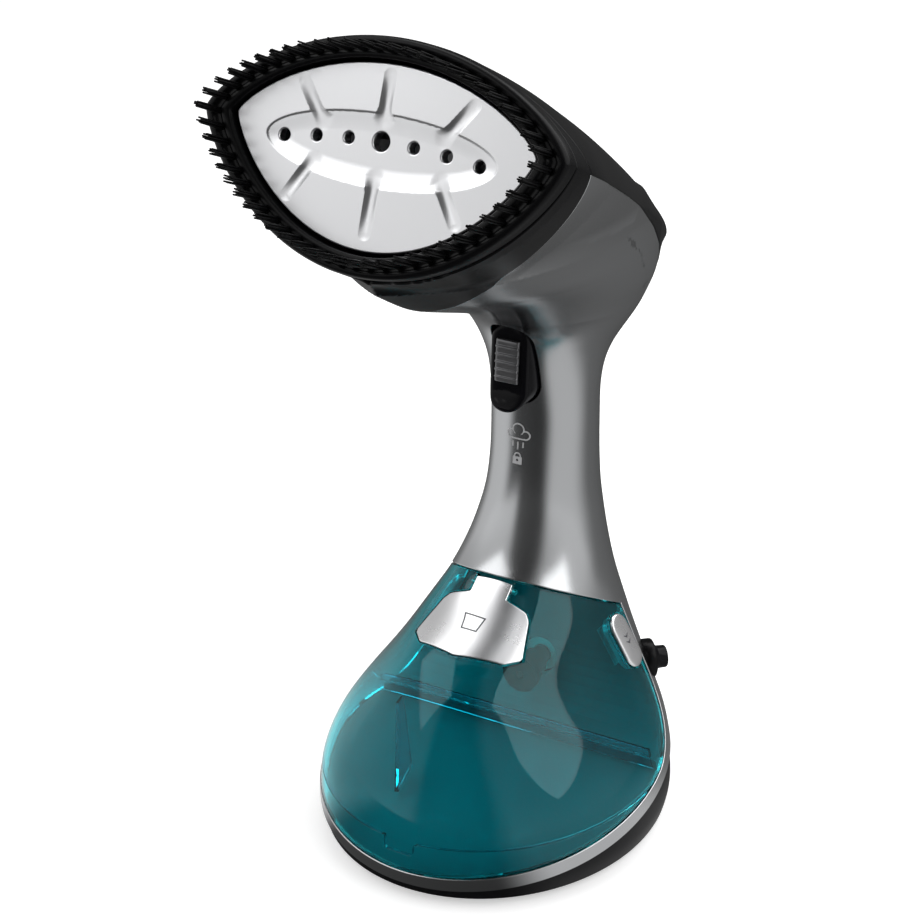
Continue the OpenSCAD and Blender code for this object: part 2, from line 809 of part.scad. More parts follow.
module jug_mark() {
  color([0.55, 0.55, 0.56]) faceted() intersection() {
    difference() {
      body_form(-0.22, 8, 98);
      body_form(-0.11, 8, 98);
    }
    flap_frame() translate([0, -3, -8]) linear_extrude(20) difference() {
      jug(0);
      jug(0.5);
    }
  }
}

module jug(inset) {
  offset(delta = -inset) polygon([[-3, -3], [3, -3], [3.8, 3], [-4.6, 3.4], [-3.8, 1]]);
}

module release_button(side) {
  color([0.85, 0.86, 0.87]) button_frame(side) {
    translate([0, 0, -5]) linear_extrude(6.2) stadium(20, 9.6);
    for (x = [-2.2, 0]) translate([x, 0, 1.2])
      linear_extrude(0.2) polygon([[0, -1.6], [1.4, 0], [0, 1.6], [0.5, 0]]);
  }
}

module release_springs() {
  color([0.75, 0.75, 0.75]) for (side = [-1, 1]) button_frame(side)
    translate([-7, -2, -8.1]) cube([14, 4, 0.5]);
}

// ---- inside the body ----

module pump() {
  color([0.85, 0.83, 0.76]) translate([0, pump_y, pump_z]) {
    cylinder(r = 4, h = 8.1, $fn = 40);
    translate([0, 0, 8]) cylinder(r = 10.5, h = 30, $fn = 64);
    translate([0, 0, 37.9]) cylinder(r = 6, h = 8.1, $fn = 40);
    translate([0, 0, 45.9]) cylinder(r = 2.5, h = 6.1, $fn = 32);
  }
}

module pump_mounts() {
  color([0.08, 0.08, 0.08]) for (z = [10, 31]) translate([0, pump_y, pump_z + z]) difference() {
    cylinder(r = 13, h = 5, $fn = 64);
    translate([0, 0, -1]) cylinder(r = 10.52, h = 7, $fn = 64);
  }
}

// Round tube through a list of points, with balls at the corners
module tube_run(points, r) {
  for (i = [0:len(points) - 2]) let (a = points[i], b = points[i + 1], d = b - a, h = norm(d)) {
    translate(a) rotate([0, acos(d[2]/h), atan2(d[1], d[0])]) cylinder(r = r, h = h, $fn = 32);
    if (i > 0) translate(a) sphere(r = r + 0.1, $fn = 32);
  }
}

module suction_hose() {
  color([0.9, 0.9, 0.88]) tube_run([[0, spine_y + 15.1, valve_z], [0, 50.8, valve_z],
    [0, 50.8, 62], [0, pump_y, 77], [0, pump_y, pump_z - 0.1]], 2.4);
}

module steam_hose() {
  color([0.9, 0.9, 0.88]) tube_run([[0, pump_y, pump_z + 52.1], [0, pump_y, 139], [0, 46, 150], [0, 46, 172],
    [0, 30, 200], [0, -10, 230], [0, -24.2, 235.9], [0, -38.1, 241.6]], 2.4);
}

module circuit_board() {
  color([0.1, 0.35, 0.15]) translate([-13, 44.2, 46]) difference() {
    cube([26, 1.6, 16]);
    for (x = [3, 23]) translate([x, -1, 8]) rotate([-90, 0, 0]) cylinder(r = 1.5, h = 5, $fn = 24);
  }
}

module board_parts() {
  color([0.15, 0.15, 0.5]) {
    translate([-10.5, 45.9, 49]) cube([6, 5, 9]);
    translate([7, 45.9, 54]) rotate([-90, 0, 0]) cylinder(r = 3.4, h = 7, $fn = 32);
  }
}

module gland_frame() {
  translate(gland_pos) rotate([0, 0, gland_turn]) rotate([0, 90, 0]) children();
}

module gland_collar() {
  color([0.04, 0.04, 0.04]) gland_frame() difference() {
    translate([0, 0, -3.5]) cylinder(r = ball_r + 1.5, h = 5.9, $fn = 64);
    sphere(r = ball_r + 0.06, $fn = 64);
  }
}

module cord_swivel() {
  color([0.02, 0.02, 0.02]) gland_frame() difference() {
    union() {
      sphere(r = ball_r, $fn = 64);
      cylinder(r = 4.2, h = 7, $fn = 48);
    }
    translate([0, 0, -8]) cylinder(r = 2.6, h = 20, $fn = 40);
  }
}

module cord_clamp() {
  color([0.8, 0.8, 0.78]) translate([6, 38.2, 52]) difference() {
    cube([12, 5, 6]);
    for (x = [2.5, 9.5]) translate([x, -1, 3]) rotate([-90, 0, 0]) cylinder(r = 1.2, h = 8, $fn = 24);
  }
}

module handle_screws() {
  color([0.7, 0.7, 0.7]) for (side = [-1, 1]) handle_screw_frame(side) {
    translate([0, 0, -9]) cylinder(r = 1.25, h = 13.2, $fn = 24);
    translate([0, 0, 4.1]) cylinder(r = 2.4, h = 1.6, $fn = 32);
  }
}

module base_screw_rows() {
  for (x = [-34, 34], y = [-30, 24]) translate([x, y, 0]) children();
}

module base_screws() {
  color([0.7, 0.7, 0.7]) base_screw_rows() {
    translate([0, 0, 1]) cylinder(r = 1.6, h = 11.6, $fn = 24);
    translate([0, 0, 0.2]) cylinder(r = 3, h = 1.28, $fn = 32);
  }
}

front_shell();
rear_shell();
head_cover();
head_shroud();
foot();
sole_pad();
tank_cradle();
steam_plate();
plate_gasket();
steam_chamber();
chamber_lid();
heating_element();
thermostat();
thermal_fuse();
chamber_brackets();
brush_frame();
bristles();
trigger();
trigger_pin();
trigger_spring();
lock_slider();
microswitch();
switch_plunger();
steam_mark();
tank_shell();
tank_base();
tank_baffle();
outlet_valve();
valve_seal();
valve_socket();
filler_flap();
flap_pin();
filler_plug();
jug_mark();
release_button(-1);  // release_button_left
release_button(1);  // release_button_right
release_springs();
pump();
pump_mounts();
suction_hose();
steam_hose();
circuit_board();
board_parts();
gland_collar();
cord_swivel();
cord_clamp();
handle_screws();
base_screws();
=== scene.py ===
import json
import math
import bpy
import numpy as np
from mathutils import Matrix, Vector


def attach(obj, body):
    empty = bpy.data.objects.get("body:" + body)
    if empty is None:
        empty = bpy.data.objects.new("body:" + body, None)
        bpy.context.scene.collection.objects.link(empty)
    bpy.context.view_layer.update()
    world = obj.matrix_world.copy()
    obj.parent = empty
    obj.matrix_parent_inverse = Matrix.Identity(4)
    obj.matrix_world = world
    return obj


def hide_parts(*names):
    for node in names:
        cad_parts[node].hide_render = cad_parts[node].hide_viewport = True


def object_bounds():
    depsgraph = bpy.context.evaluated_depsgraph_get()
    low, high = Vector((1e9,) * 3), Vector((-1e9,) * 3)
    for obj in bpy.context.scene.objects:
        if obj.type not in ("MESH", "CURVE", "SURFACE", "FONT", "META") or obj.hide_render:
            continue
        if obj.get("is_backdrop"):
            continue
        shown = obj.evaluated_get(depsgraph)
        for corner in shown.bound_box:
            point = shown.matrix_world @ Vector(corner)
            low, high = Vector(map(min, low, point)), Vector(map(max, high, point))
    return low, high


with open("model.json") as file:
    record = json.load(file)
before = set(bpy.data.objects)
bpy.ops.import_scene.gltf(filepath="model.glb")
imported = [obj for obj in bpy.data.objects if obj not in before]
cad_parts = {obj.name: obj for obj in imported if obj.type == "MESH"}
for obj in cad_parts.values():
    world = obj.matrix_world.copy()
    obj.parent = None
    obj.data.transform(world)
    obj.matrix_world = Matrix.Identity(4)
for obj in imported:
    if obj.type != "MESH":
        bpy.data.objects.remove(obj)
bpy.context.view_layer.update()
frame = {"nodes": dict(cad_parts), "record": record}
MM = 0.001

# ---- sizes in millimetres, the same as the CAD apart from the body's two top rows ----
FACE_Y, FACE_Z, FACE_TILT = 59.0, 256.5, math.radians(22)
HEAD_W, PLATE_W = 120.6, 100.0
HOLE_PITCH, SMALL_HOLE, BIG_HOLE = 10.8, 3.6, 5.6
SPINE_Y, REAR_SEAM_Y, SEAM_Z = 33.0, 44.0, 21.5
BAND_TOP, BAND_LOW, BAND_SLOPE = 20.4, 15.4, 0.15
GLAND, GLAND_TURN, BALL_R = (37.5, 41.0, 45.0), math.radians(42), 5.4
BUTTON, BUTTON_LEAN = (37.0, 25.0, 60.4), math.radians(30)

# Body rings: height, front y, rear y, half width, y of the widest line
BODY = [
    (0, -63, 63, 57, 0), (3, -65, 65, 59, 0), (9, -66, 66, 60, 0), (20, -65.2, 65.4, 59.2, 0),
    (30, -62.5, 64, 56.5, 3), (40, -57.5, 62, 50.8, 8), (50, -51, 60, 44, 15),
    (60, -43, 58.5, 37.6, 21), (70, -31, 57.5, 32, 25.5), (79, -10.5, 57, 27.4, 28.5),
    (87, 1, 56.6, 24.6, 30.5), (95, 7.5, 56.3, 22.2, 32.5), (112, 14.5, 56, 18.8, 35.5),
    (126, 17.2, 55.6, 18.2, 36.5), (142, 18.3, 55.6, 18.2, 37), (152, 17.5, 58, 18.8, 38),
    (160, 16, 63, 21, 40), (167, 14, 68, 25, 42), (174, 11, 71, 29.5, 42),
    (182, 0, 71.5, 33.5, 40), (190, -15, 70, 37, 36), (199, -40, 66, 38, 28),
    (206, -52, 60, 37, 20), (212, -61, 56, 35.5, 12)]
# Head rings: depth behind the plate, half width, rise, drop, ridge, power of the outline
HEAD = [
    (-2, 60.3, 27.3, 40.8, 2, 1.5), (13, 60, 27, 41, 1, 1.45), (40, 55.5, 26, 40, -2, 1.4),
    (80, 46, 21, 35, -5, 1.3), (110, 39.5, 16.5, 29, -9, 1.2), (126, 35.5, 13.5, 24, -11.5, 1.1),
    (136, 30.5, 11.5, 20, -13, 1.05), (143, 22.5, 8.5, 15, -14, 1), (147, 13, 5, 9, -14.5, 1),
    (149, 3, 1, 2, -15, 1)]
RIDGE = [(-60, 259), (-20, 239), (13, 222), (34, 208), (44, 197), (50, 188), (58, 183), (90, 179)]
FAR = 50.0  # a distance that takes a point out of a cut
FLAP = [(6.8, 17.5), (7, 8.8), (14.6, 7.4), (16.6, 5), (20.6, -9), (16, -13.6), (0, -16.6),
        (-16, -13.6), (-20.6, -9), (-16.6, 5), (-14.6, 7.4), (-7, 8.8), (-6.8, 17.5)]


# ---- curves through the tables ----
def slopes(xs, ys):
    """Slopes of a curve that never overshoots its rows."""
    sec = np.diff(ys) / np.diff(xs)
    m = np.zeros(len(xs))
    m[0], m[-1] = sec[0], sec[-1]
    a, b = sec[:-1], sec[1:]
    same = a * b > 0
    m[1:-1][same] = 2 * a[same] * b[same] / (a[same] + b[same])
    return m


def curve(rows, col, at):
    """Value of one column of a table of rows, at any place between them."""
    xs = np.array([r[0] for r in rows], float)
    ys = np.array([r[col] for r in rows], float)
    m = slopes(xs, ys)
    at = np.clip(at, xs[0], xs[-1])
    i = np.clip(np.searchsorted(xs, at, side="right") - 1, 0, len(xs) - 2)
    h = xs[i + 1] - xs[i]
    u = (at - xs[i]) / h
    return (ys[i] * (2 * u**3 - 3 * u**2 + 1) + ys[i + 1] * (3 * u**2 - 2 * u**3)
            + m[i] * h * (u**3 - 2 * u**2 + u) + m[i + 1] * h * (u**3 - u**2))


def blurred(values, step, spread):
    """Values smoothed by a bell curve of the given spread."""
    half = int(3 * spread / step)
    kernel = np.exp(-0.5 * (np.arange(-half, half + 1) * step / spread) ** 2)
    kernel /= kernel.sum()
    return np.convolve(np.pad(values, half, mode="edge"), kernel, mode="valid")


STEP = 0.25
BODY_TOP, HEAD_FRONT, HEAD_BACK = 212, -2, 149
body_z = np.arange(0, BODY_TOP + STEP, STEP)
body_cols = []
for col in range(1, 5):
    raw = curve(BODY, col, body_z)
    soft = blurred(raw, STEP, 3.0)
    keep = np.clip((body_z - 14) / 10, 0, 1) * np.clip((206 - body_z) / 8, 0, 1)
    body_cols.append(raw * (1 - keep) + soft * keep)
head_s = np.arange(HEAD_FRONT, HEAD_BACK + STEP, STEP)
head_cols = []
for col in range(1, 6):
    raw = curve(HEAD, col, head_s)
    soft = blurred(raw, STEP, 5.0)
    keep = np.clip((head_s - 4) / 10, 0, 1) * np.clip((130 - head_s) / 14, 0, 1)
    head_cols.append(raw * (1 - keep) + soft * keep)
ridge_y = np.arange(-70, 90.5, 0.5)
ridge_z = blurred(np.interp(ridge_y, [r[0] for r in RIDGE], [r[1] for r in RIDGE]), 0.5, 3.0)

UP = np.array([0, math.sin(FACE_TILT), math.cos(FACE_TILT)])
OUT = np.array([0, -math.cos(FACE_TILT), math.sin(FACE_TILT)])
FACE = np.array([0, -FACE_Y, FACE_Z])


def to_face(p):
    """Points in the plate's frame: across, up the plate, out of the plate."""
    d = p - FACE
    return np.stack([d[..., 0], d @ UP, d @ OUT], -1)


def from_face(u, v, w):
    """Points from the plate's frame: across, up the plate, out of the plate."""
    u, v, w = np.broadcast_arrays(np.asarray(u, float), v, w)
    return FACE + u[..., None] * np.array([1, 0, 0]) + v[..., None] * UP + w[..., None] * OUT


def body_field(p):
    """Rough distance outside the body."""
    x, y, z = p[..., 0], p[..., 1], p[..., 2]
    yf, yr, w, yw = [np.interp(z, body_z, c) for c in body_cols]
    d = np.where(y > yw, yr - yw, yw - yf)
    # The front narrows to a nose under the head
    nose = np.where(y < yw, 1 + 0.8 * np.clip((z - 178) / 20, 0, 1), 1.0)
    q = np.sqrt(np.abs(x / w) ** (2 / nose) + ((y - yw) / d) ** 2) + 1e-9
    r = np.sqrt(x**2 + (y - yw) ** 2) + 1e-9
    return np.maximum(np.maximum(r * (1 - 1 / q), z - BODY_TOP), -z)


def head_field(p):
    """Rough distance outside the head."""
    f = to_face(p)
    s = -f[..., 2]
    w, rise, drop, ridge, power = [np.interp(s, head_s, c) for c in head_cols]
    x, v = f[..., 0], f[..., 1] - ridge
    side = np.where(v > 0, rise, drop)
    # The lower half turns from round at the plate to keel-shaped behind it
    power = np.where(v > 0, power, power * (1 + 0.35 * np.clip((s - 8) / 30, 0, 1)))
    q = np.sqrt((np.abs(v) / side) ** (2 / power) + (x / w) ** 2) + 1e-9
    r = np.sqrt(x**2 + v**2) + 1e-9
    d = r * (1 - 1 / q**0.85)
    return np.maximum(np.maximum(d, s - HEAD_BACK), HEAD_FRONT - s)


def form_field(p):
    """The whole outer form: the body flowing into the head."""
    a, b = body_field(p), head_field(p)
    k = 2 + 9 * np.clip((62 - p[..., 1]) / 20, 0, 1)
    h = np.maximum(k - np.abs(a - b), 0) / k
    return np.minimum(a, b) - h * h * k / 4


def gradient(field, p, e=0.05):
    g = np.zeros_like(p)
    for i in range(3):
        d = np.zeros(3)
        d[i] = e
        g[..., i] = (field(p + d) - field(p - d)) / (2 * e)
    return g


def pulled(field, p, level=0.0, rounds=4):
    """Points moved onto the surface where field equals level."""
    for _ in range(rounds):
        g = gradient(field, p)
        gg = np.maximum((g * g).sum(-1), 0.05)
        step = (field(p) - level) / gg
        p = p - np.clip(step, -2, 2)[..., None] * g
    return p


def unit(v):
    return v / np.maximum(np.linalg.norm(v, axis=-1, keepdims=True), 1e-12)


# ---- surfaces from fields ----
def net(field, low, high, step):
    """Quads over the surface field = 0 inside a box."""
    axes = [np.arange(a, b + step, step) for a, b in zip(low, high)]
    grid = np.stack(np.meshgrid(*axes, indexing="ij"), -1)
    val = np.empty(grid.shape[:3])
    for i in range(grid.shape[0]):
        val[i] = field(grid[i])
    inside = val < 0
    n = [s - 1 for s in val.shape]
    total = np.zeros(n, int)
    for dx in (0, 1):
        for dy in (0, 1):
            for dz in (0, 1):
                total += inside[dx:dx + n[0], dy:dy + n[1], dz:dz + n[2]]
    cells = (total > 0) & (total < 8)
    index = -np.ones(n, int)
    index[cells] = np.arange(cells.sum())
    base = np.argwhere(cells)
    acc = np.zeros((len(base), 3))
    cnt = np.zeros(len(base))
    corners = [(0, 0, 0), (1, 0, 0), (0, 1, 0), (0, 0, 1), (1, 1, 0), (1, 0, 1), (0, 1, 1), (1, 1, 1)]
    for a in corners:
        for b in corners:
            if sum(b) - sum(a) != 1 or sum(abs(i - j) for i, j in zip(a, b)) != 1:
                continue
            ia, ib = base + a, base + b
            va, vb = val[tuple(ia.T)], val[tuple(ib.T)]
            cross = (va < 0) != (vb < 0)
            t = np.where(cross, va / np.where(cross, va - vb, 1), 0)
            pa, pb = grid[tuple(ia.T)], grid[tuple(ib.T)]
            acc += np.where(cross[:, None], pa + t[:, None] * (pb - pa), 0)
            cnt += cross
    verts = acc / cnt[:, None]
    faces = []
    for axis in range(3):
        other = [i for i in range(3) if i != axis]
        a = [slice(1, -1)] * 3
        a[axis] = slice(0, -1)
        b = [slice(1, -1)] * 3
        b[axis] = slice(1, None)
        va, vb = inside[tuple(a)], inside[tuple(b)]
        hit = np.argwhere(va != vb)
        if not len(hit):
            continue
        flip = va[tuple(hit.T)]
        pos = hit.copy()
        for o in other:
            pos[:, o] += 1
        quad = []
        for du, dv in ((-1, -1), (0, -1), (0, 0), (-1, 0)):
            c = pos.copy()
            c[:, other[0]] += du
            c[:, other[1]] += dv
            quad.append(index[tuple(c.T)])
        quad = np.stack(quad, 1)
        if axis == 1:
            flip = ~flip
        quad[~flip] = quad[~flip][:, ::-1]
        faces.append(quad)
    quads = np.concatenate(faces)
    tris = np.concatenate([quads[:, [0, 1, 2]], quads[:, [0, 2, 3]]])
    return verts, tris


def tidied(verts, tris):
    """Drops unused points."""
    used = np.unique(tris)
    new = -np.ones(len(verts), int)
    new[used] = np.arange(len(used))
    return verts[used], new[tris]


def clip(mesh, field):
    """The part of a mesh where field is positive, cut along field = 0."""
    verts, tris = mesh
    val = field(verts)
    val = np.where(np.abs(val) < 1e-6, 1e-6, val)
    pos = val[tris] > 0
    count = pos.sum(1)
    keep = tris[count == 3]
    new_pts, new_tris, cache = [], [keep], {}
    base = len(verts)

    def cut(i, j):
        key = (i, j) if i < j else (j, i)
        if key not in cache:
            t = val[i] / (val[i] - val[j])
            cache[key] = base + len(new_pts)
            new_pts.append(verts[i] + t * (verts[j] - verts[i]))
        return cache[key]

    extra = []
    for tri, p in zip(tris[(count == 1) | (count == 2)], pos[(count == 1) | (count == 2)]):
        if p.sum() == 1:
            k = int(np.argmax(p))
            a, b, c = tri[k], tri[(k + 1) % 3], tri[(k + 2) % 3]
            extra.append((a, cut(a, b), cut(a, c)))
        else:
            k = int(np.argmin(p))
            a, b, c = tri[k], tri[(k + 1) % 3], tri[(k + 2) % 3]
            ab, ac = cut(a, b), cut(a, c)
            extra.append((ab, b, c))
            extra.append((ab, c, ac))
    if extra:
        new_tris.append(np.array(extra))
        verts = np.concatenate([verts, np.array(new_pts)])
    return tidied(verts, np.concatenate(new_tris))


def edges_of(tris):
    """Directed edges that belong to one triangle only."""
    e = np.concatenate([tris[:, [0, 1]], tris[:, [1, 2]], tris[:, [2, 0]]])
    key = e.min(1).astype(np.int64) * (e.max() + 1) + e.max(1)
    _, inv, cnt = np.unique(key, return_inverse=True, return_counts=True)
    return e[cnt[inv] == 1]


def outward(verts, normals, edges):
    """Direction out of the sheet at each border point."""
    o = np.zeros_like(verts)
    d = unit(verts[edges[:, 1]] - verts[edges[:, 0]])
    np.add.at(o, edges[:, 0], np.cross(d, normals[edges[:, 0]]))
    np.add.at(o, edges[:, 1], np.cross(d, normals[edges[:, 1]]))
    return unit(o)


def rimmed(mesh, normals, radius, depth, steps=4, inner=False):
    """Adds a rounded edge and a wall going inward along every border, and an inner face if asked."""
    verts, tris = mesh
    e = edges_of(tris)
    o = outward(verts, normals, e)
    ids = np.unique(e)
    all_v, all_n, all_t = [verts], [normals], [tris]
    prev = -np.ones(len(verts), int)
    prev[ids] = ids
    total = len(verts)
    p, n, side = verts[ids], normals[ids], o[ids]
    rings = []
    for j in range(1, steps + 1):
        f = math.pi / 2 * j / steps
        rings.append((p + side * radius * math.sin(f) - n * radius * (1 - math.cos(f)),
                      n * math.cos(f) + side * math.sin(f)))
    rings.append((p + side * radius - n * depth, side))
    if inner:
        rings.append((p + side * radius - n * depth, -n))
    for ring_v, ring_n in rings:
        cur = -np.ones(len(verts), int)
        cur[ids] = total + np.arange(len(ids))
        total += len(ids)
        all_v.append(ring_v)
        all_n.append(ring_n)
        if not (inner and len(all_v) == len(rings) + 1):
            a, b = e[:, 0], e[:, 1]
            all_t.append(np.stack([prev[b], prev[a], cur[a]], 1))
            all_t.append(np.stack([prev[b], cur[a], cur[b]], 1))
        prev = cur
    if inner:
        back = total
        all_v.append(verts - normals * depth)
        all_n.append(-normals)
        all_t.append(tris[:, ::-1] + back)
        a, b = e[:, 0], e[:, 1]
        all_t.append(np.stack([prev[b], prev[a], back + a], 1))
        all_t.append(np.stack([prev[b], back + a, back + b], 1))
    return np.concatenate(all_v), np.concatenate(all_n), np.concatenate(all_t)


def make(name, verts, tris, normals=None, smooth=True):
    name = name.replace(" ", "_") + "_look"
    mesh = bpy.data.meshes.new(name)
    mesh.from_pydata((np.asarray(verts) * MM).tolist(), [], np.asarray(tris).tolist())
    mesh.polygons.foreach_set("use_smooth", [smooth] * len(mesh.polygons))
    mesh.update()
    if normals is not None:
        mesh.normals_split_custom_set_from_vertices(unit(np.asarray(normals)).tolist())
    obj = bpy.data.objects.new(name, mesh)
    bpy.context.scene.collection.objects.link(obj)
    return obj


def placed(obj, body, nodes, material):
    obj.data.materials.clear()
    obj.data.materials.append(material)
    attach(obj, body)
    if nodes:
        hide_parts(*nodes)
    return obj


def panel(name, mesh, level, radius, depth, body, nodes, material, inner=False):
    """A moulded panel of the form at a level, with rounded edges."""
    v, t = mesh
    v = pulled(form_field, v, level)
    n = unit(gradient(form_field, v))
    v, n, t = rimmed((v, t), n, radius, depth, inner=inner)
    return placed(make(name, v, t, n), body, nodes, material)


# ---- flat shapes as signed distances, negative inside ----
def stadium_d(a, b, length, width):
    """Stadium along the first axis."""
    half = (length - width) / 2
    return np.sqrt(np.maximum(np.abs(a) - half, 0) ** 2 + b**2) - width / 2


def polygon_d(px, py, pts):
    """Distance outside a polygon."""
    pts = np.array(pts, float)
    best = np.full(np.shape(px), 1e9)
    inside = np.zeros(np.shape(px), bool)
    for (ax, ay), (bx, by) in zip(pts, np.roll(pts, -1, 0)):
        ex, ey = bx - ax, by - ay
        t = np.clip(((px - ax) * ex + (py - ay) * ey) / (ex * ex + ey * ey), 0, 1)
        best = np.minimum(best, np.hypot(px - ax - t * ex, py - ay - t * ey))
        crosses = (ay > py) != (by > py)
        at = ax + (py - ay) * ex / np.where(abs(ey) < 1e-12, 1e-12, ey)
        inside ^= crosses & (px < at)
    return np.where(inside, -best, best)


def joint_d(p):
    """Distance above the face where the tank ends under the front shell."""
    return (0.57 * (p[..., 1] - 2.3) + (p[..., 2] - 87.2)) / 1.151


def shroud_d(p):
    """Distance behind the face that ends the head shroud."""
    return (p[..., 1] + 43.5) * 0.9945 + (p[..., 2] - 226) * 0.1045


def head_end_d(p):
    """The same face, for the pieces that only meet it in the head."""
    return np.where(p[..., 2] > 120, shroud_d(p), FAR)


def ridge_d(p):
    """Distance below the line where the head cover ends."""
    return (np.interp(p[..., 1], ridge_y, ridge_z) - p[..., 2]) * 0.88


def band_d(p, level):
    """Distance above the sloping line of the band at a level."""
    return (p[..., 2] - level - BAND_SLOPE * p[..., 1]) / 1.011


TANK_CORNER = 22.0


def tank_d(p):
    """Distance inside the tank's region."""
    a = SPINE_Y - p[..., 1]
    c = band_d(p, BAND_TOP)
    corner = TANK_CORNER - np.hypot(np.maximum(TANK_CORNER - a, 0), np.maximum(TANK_CORNER - c, 0))
    return np.minimum(corner, -joint_d(p))


def trigger_d(p):
    """Distance outside the trigger's window."""
    return np.where(p[..., 1] < 34, stadium_d(p[..., 2] - 160, p[..., 0], 30.4, 14.4), FAR)


FLAP_SLOPE, FLAP_Y, FLAP_Z = math.radians(30), -12, 79


def flap_xy(p):
    """Points in the flap's frame: across, up the flap, out of the tank."""
    y, z = p[..., 1] - FLAP_Y, p[..., 2] - FLAP_Z
    return (p[..., 0], y * math.cos(FLAP_SLOPE) + z * math.sin(FLAP_SLOPE),
            -y * math.sin(FLAP_SLOPE) + z * math.cos(FLAP_SLOPE))


def flap_d(p):
    """Distance outside the flap's outline."""
    a, b, c = flap_xy(p)
    d = polygon_d(a, b, FLAP)
    return np.where(np.abs(c) < 15, d, FAR)


def button_xyz(p, side):
    """Points in a release button's frame: along, across, out."""
    d = p - np.array([side * BUTTON[0], BUTTON[1], BUTTON[2]])
    cx, sx = math.cos(BUTTON_LEAN), math.sin(BUTTON_LEAN)
    along = d[..., 0] * side * sx - d[..., 2] * cx
    out = d[..., 0] * side * cx + d[..., 2] * sx
    return along, d[..., 1], out


def button_d(p):
    """Distance outside the outlines of both release buttons."""
    best = np.full(p.shape[:-1], FAR)
    for side in (-1, 1):
        a, b, c = button_xyz(p, side)
        best = np.minimum(best, np.where(np.abs(c) < 12, stadium_d(a, b, 20, 9.6), FAR))
    return best


# ---- materials ----
def material(name, color, rough, metal=0.0, **more):
    m = bpy.data.materials.new(name)
    m.use_nodes = True
    b = m.node_tree.nodes["Principled BSDF"]
    b.inputs["Base Color"].default_value = (*color, 1)
    b.inputs["Roughness"].default_value = rough
    b.inputs["Metallic"].default_value = metal
    for key, value in more.items():
        b.inputs[key.replace("_", " ")].default_value = value
    return m


def grain(m, scale, rough_low, rough_high, bump, bump_scale):
    """Uneven gloss and a fine moulded surface."""
    t = m.node_tree
    b = t.nodes["Principled BSDF"]
    coord = t.nodes.new("ShaderNodeTexCoord")
    noise = t.nodes.new("ShaderNodeTexNoise")
    noise.inputs["Scale"].default_value = scale
    noise.inputs["Detail"].default_value = 5
    t.links.new(coord.outputs["Object"], noise.inputs["Vector"])
    ramp = t.nodes.new("ShaderNodeMapRange")
    ramp.inputs["To Min"].default_value = rough_low
    ramp.inputs["To Max"].default_value = rough_high
    t.links.new(noise.outputs["Fac"], ramp.inputs["Value"])
    t.links.new(ramp.outputs["Result"], b.inputs["Roughness"])
    fine = t.nodes.new("ShaderNodeTexNoise")
    fine.inputs["Scale"].default_value = bump_scale
    t.links.new(coord.outputs["Object"], fine.inputs["Vector"])
    bn = t.nodes.new("ShaderNodeBump")
    bn.inputs["Strength"].default_value = bump
    bn.inputs["Distance"].default_value = 0.0002
    t.links.new(fine.outputs["Fac"], bn.inputs["Height"])
    t.links.new(bn.outputs["Normal"], b.inputs["Normal"])
    return m


silver = grain(material("silver paint", (0.5, 0.51, 0.52), 0.3, 1.0), 60, 0.2, 0.27, 0.04, 3000)
black = grain(material("black satin", (0.004, 0.004, 0.0045), 0.3, Specular_IOR_Level=0.12),
              40, 0.26, 0.34, 0.06, 2500)
matt_black = grain(material("black matt", (0.006, 0.006, 0.007), 0.5, Specular_IOR_Level=0.15),
                   40, 0.4, 0.5, 0.12, 2500)
gloss_black = grain(material("black gloss", (0.004, 0.004, 0.005), 0.1, Specular_IOR_Level=0.12),
                    30, 0.1, 0.16, 0.02, 1500)
bright = grain(material("bright plate", (0.85, 0.855, 0.87), 0.29, 1.0), 80, 0.26, 0.33, 0.02, 2000)
teal = material("teal tank", (0.04, 0.84, 0.93), 0.03, 0.0, Transmission_Weight=1.0, IOR=1.36)
silver_trim = grain(material("silver trim", (0.93, 0.93, 0.94), 0.3, 1.0), 60, 0.24, 0.32, 0.04, 3000)
slider_grey = grain(material("slider grey", (0.16, 0.16, 0.165), 0.3, 0.7), 60, 0.24, 0.34, 0.08, 2500)
cradle_grey = grain(material("cradle grey", (0.2, 0.21, 0.22), 0.4), 50, 0.35, 0.45, 0.08, 2500)
bristle = material("bristle", (0.004, 0.004, 0.0045), 0.4, Specular_IOR_Level=0.15)
print_light = material("light print", (0.5, 0.5, 0.51), 0.4)
print_dark = material("dark print", (0.08, 0.08, 0.09), 0.4)

# ---- body shells ----
MESH = 1.3
form = net(form_field, (-62.3, -68.1, 1.2), (62.4, 76.3, 290.2), MESH)
form = (pulled(form_field, form[0]), form[1])


def region(*fields, start=None):
    mesh = start if start is not None else form
    for f in fields:
        mesh = clip(mesh, f)
    return mesh


front = region(lambda p: joint_d(p) - 0.25, lambda p: REAR_SEAM_Y - 0.25 - p[..., 1],
               lambda p: head_end_d(p) - 0.3, lambda p: ridge_d(p) - 0.3, lambda p: trigger_d(p) - 0.9)
panel("front shell", front, 0.0, 0.4, 2.0, "housing", ["front_shell"], silver)
rear = region(lambda p: band_d(p, BAND_LOW) - 0.4, lambda p: -tank_d(p) - 0.4,
              lambda p: np.maximum(p[..., 1] - REAR_SEAM_Y - 0.25, -joint_d(p) - 0.25),
              lambda p: head_end_d(p) - 0.3, lambda p: ridge_d(p) - 0.3)


def gland_d(p):
    """Distance from the axis of the cord outlet."""
    d = p - np.array(GLAND)
    axis = np.array([math.cos(GLAND_TURN), math.sin(GLAND_TURN), 0])
    along = d @ axis
    return np.where(along > -15, np.linalg.norm(d - along[..., None] * axis, axis=-1), FAR)


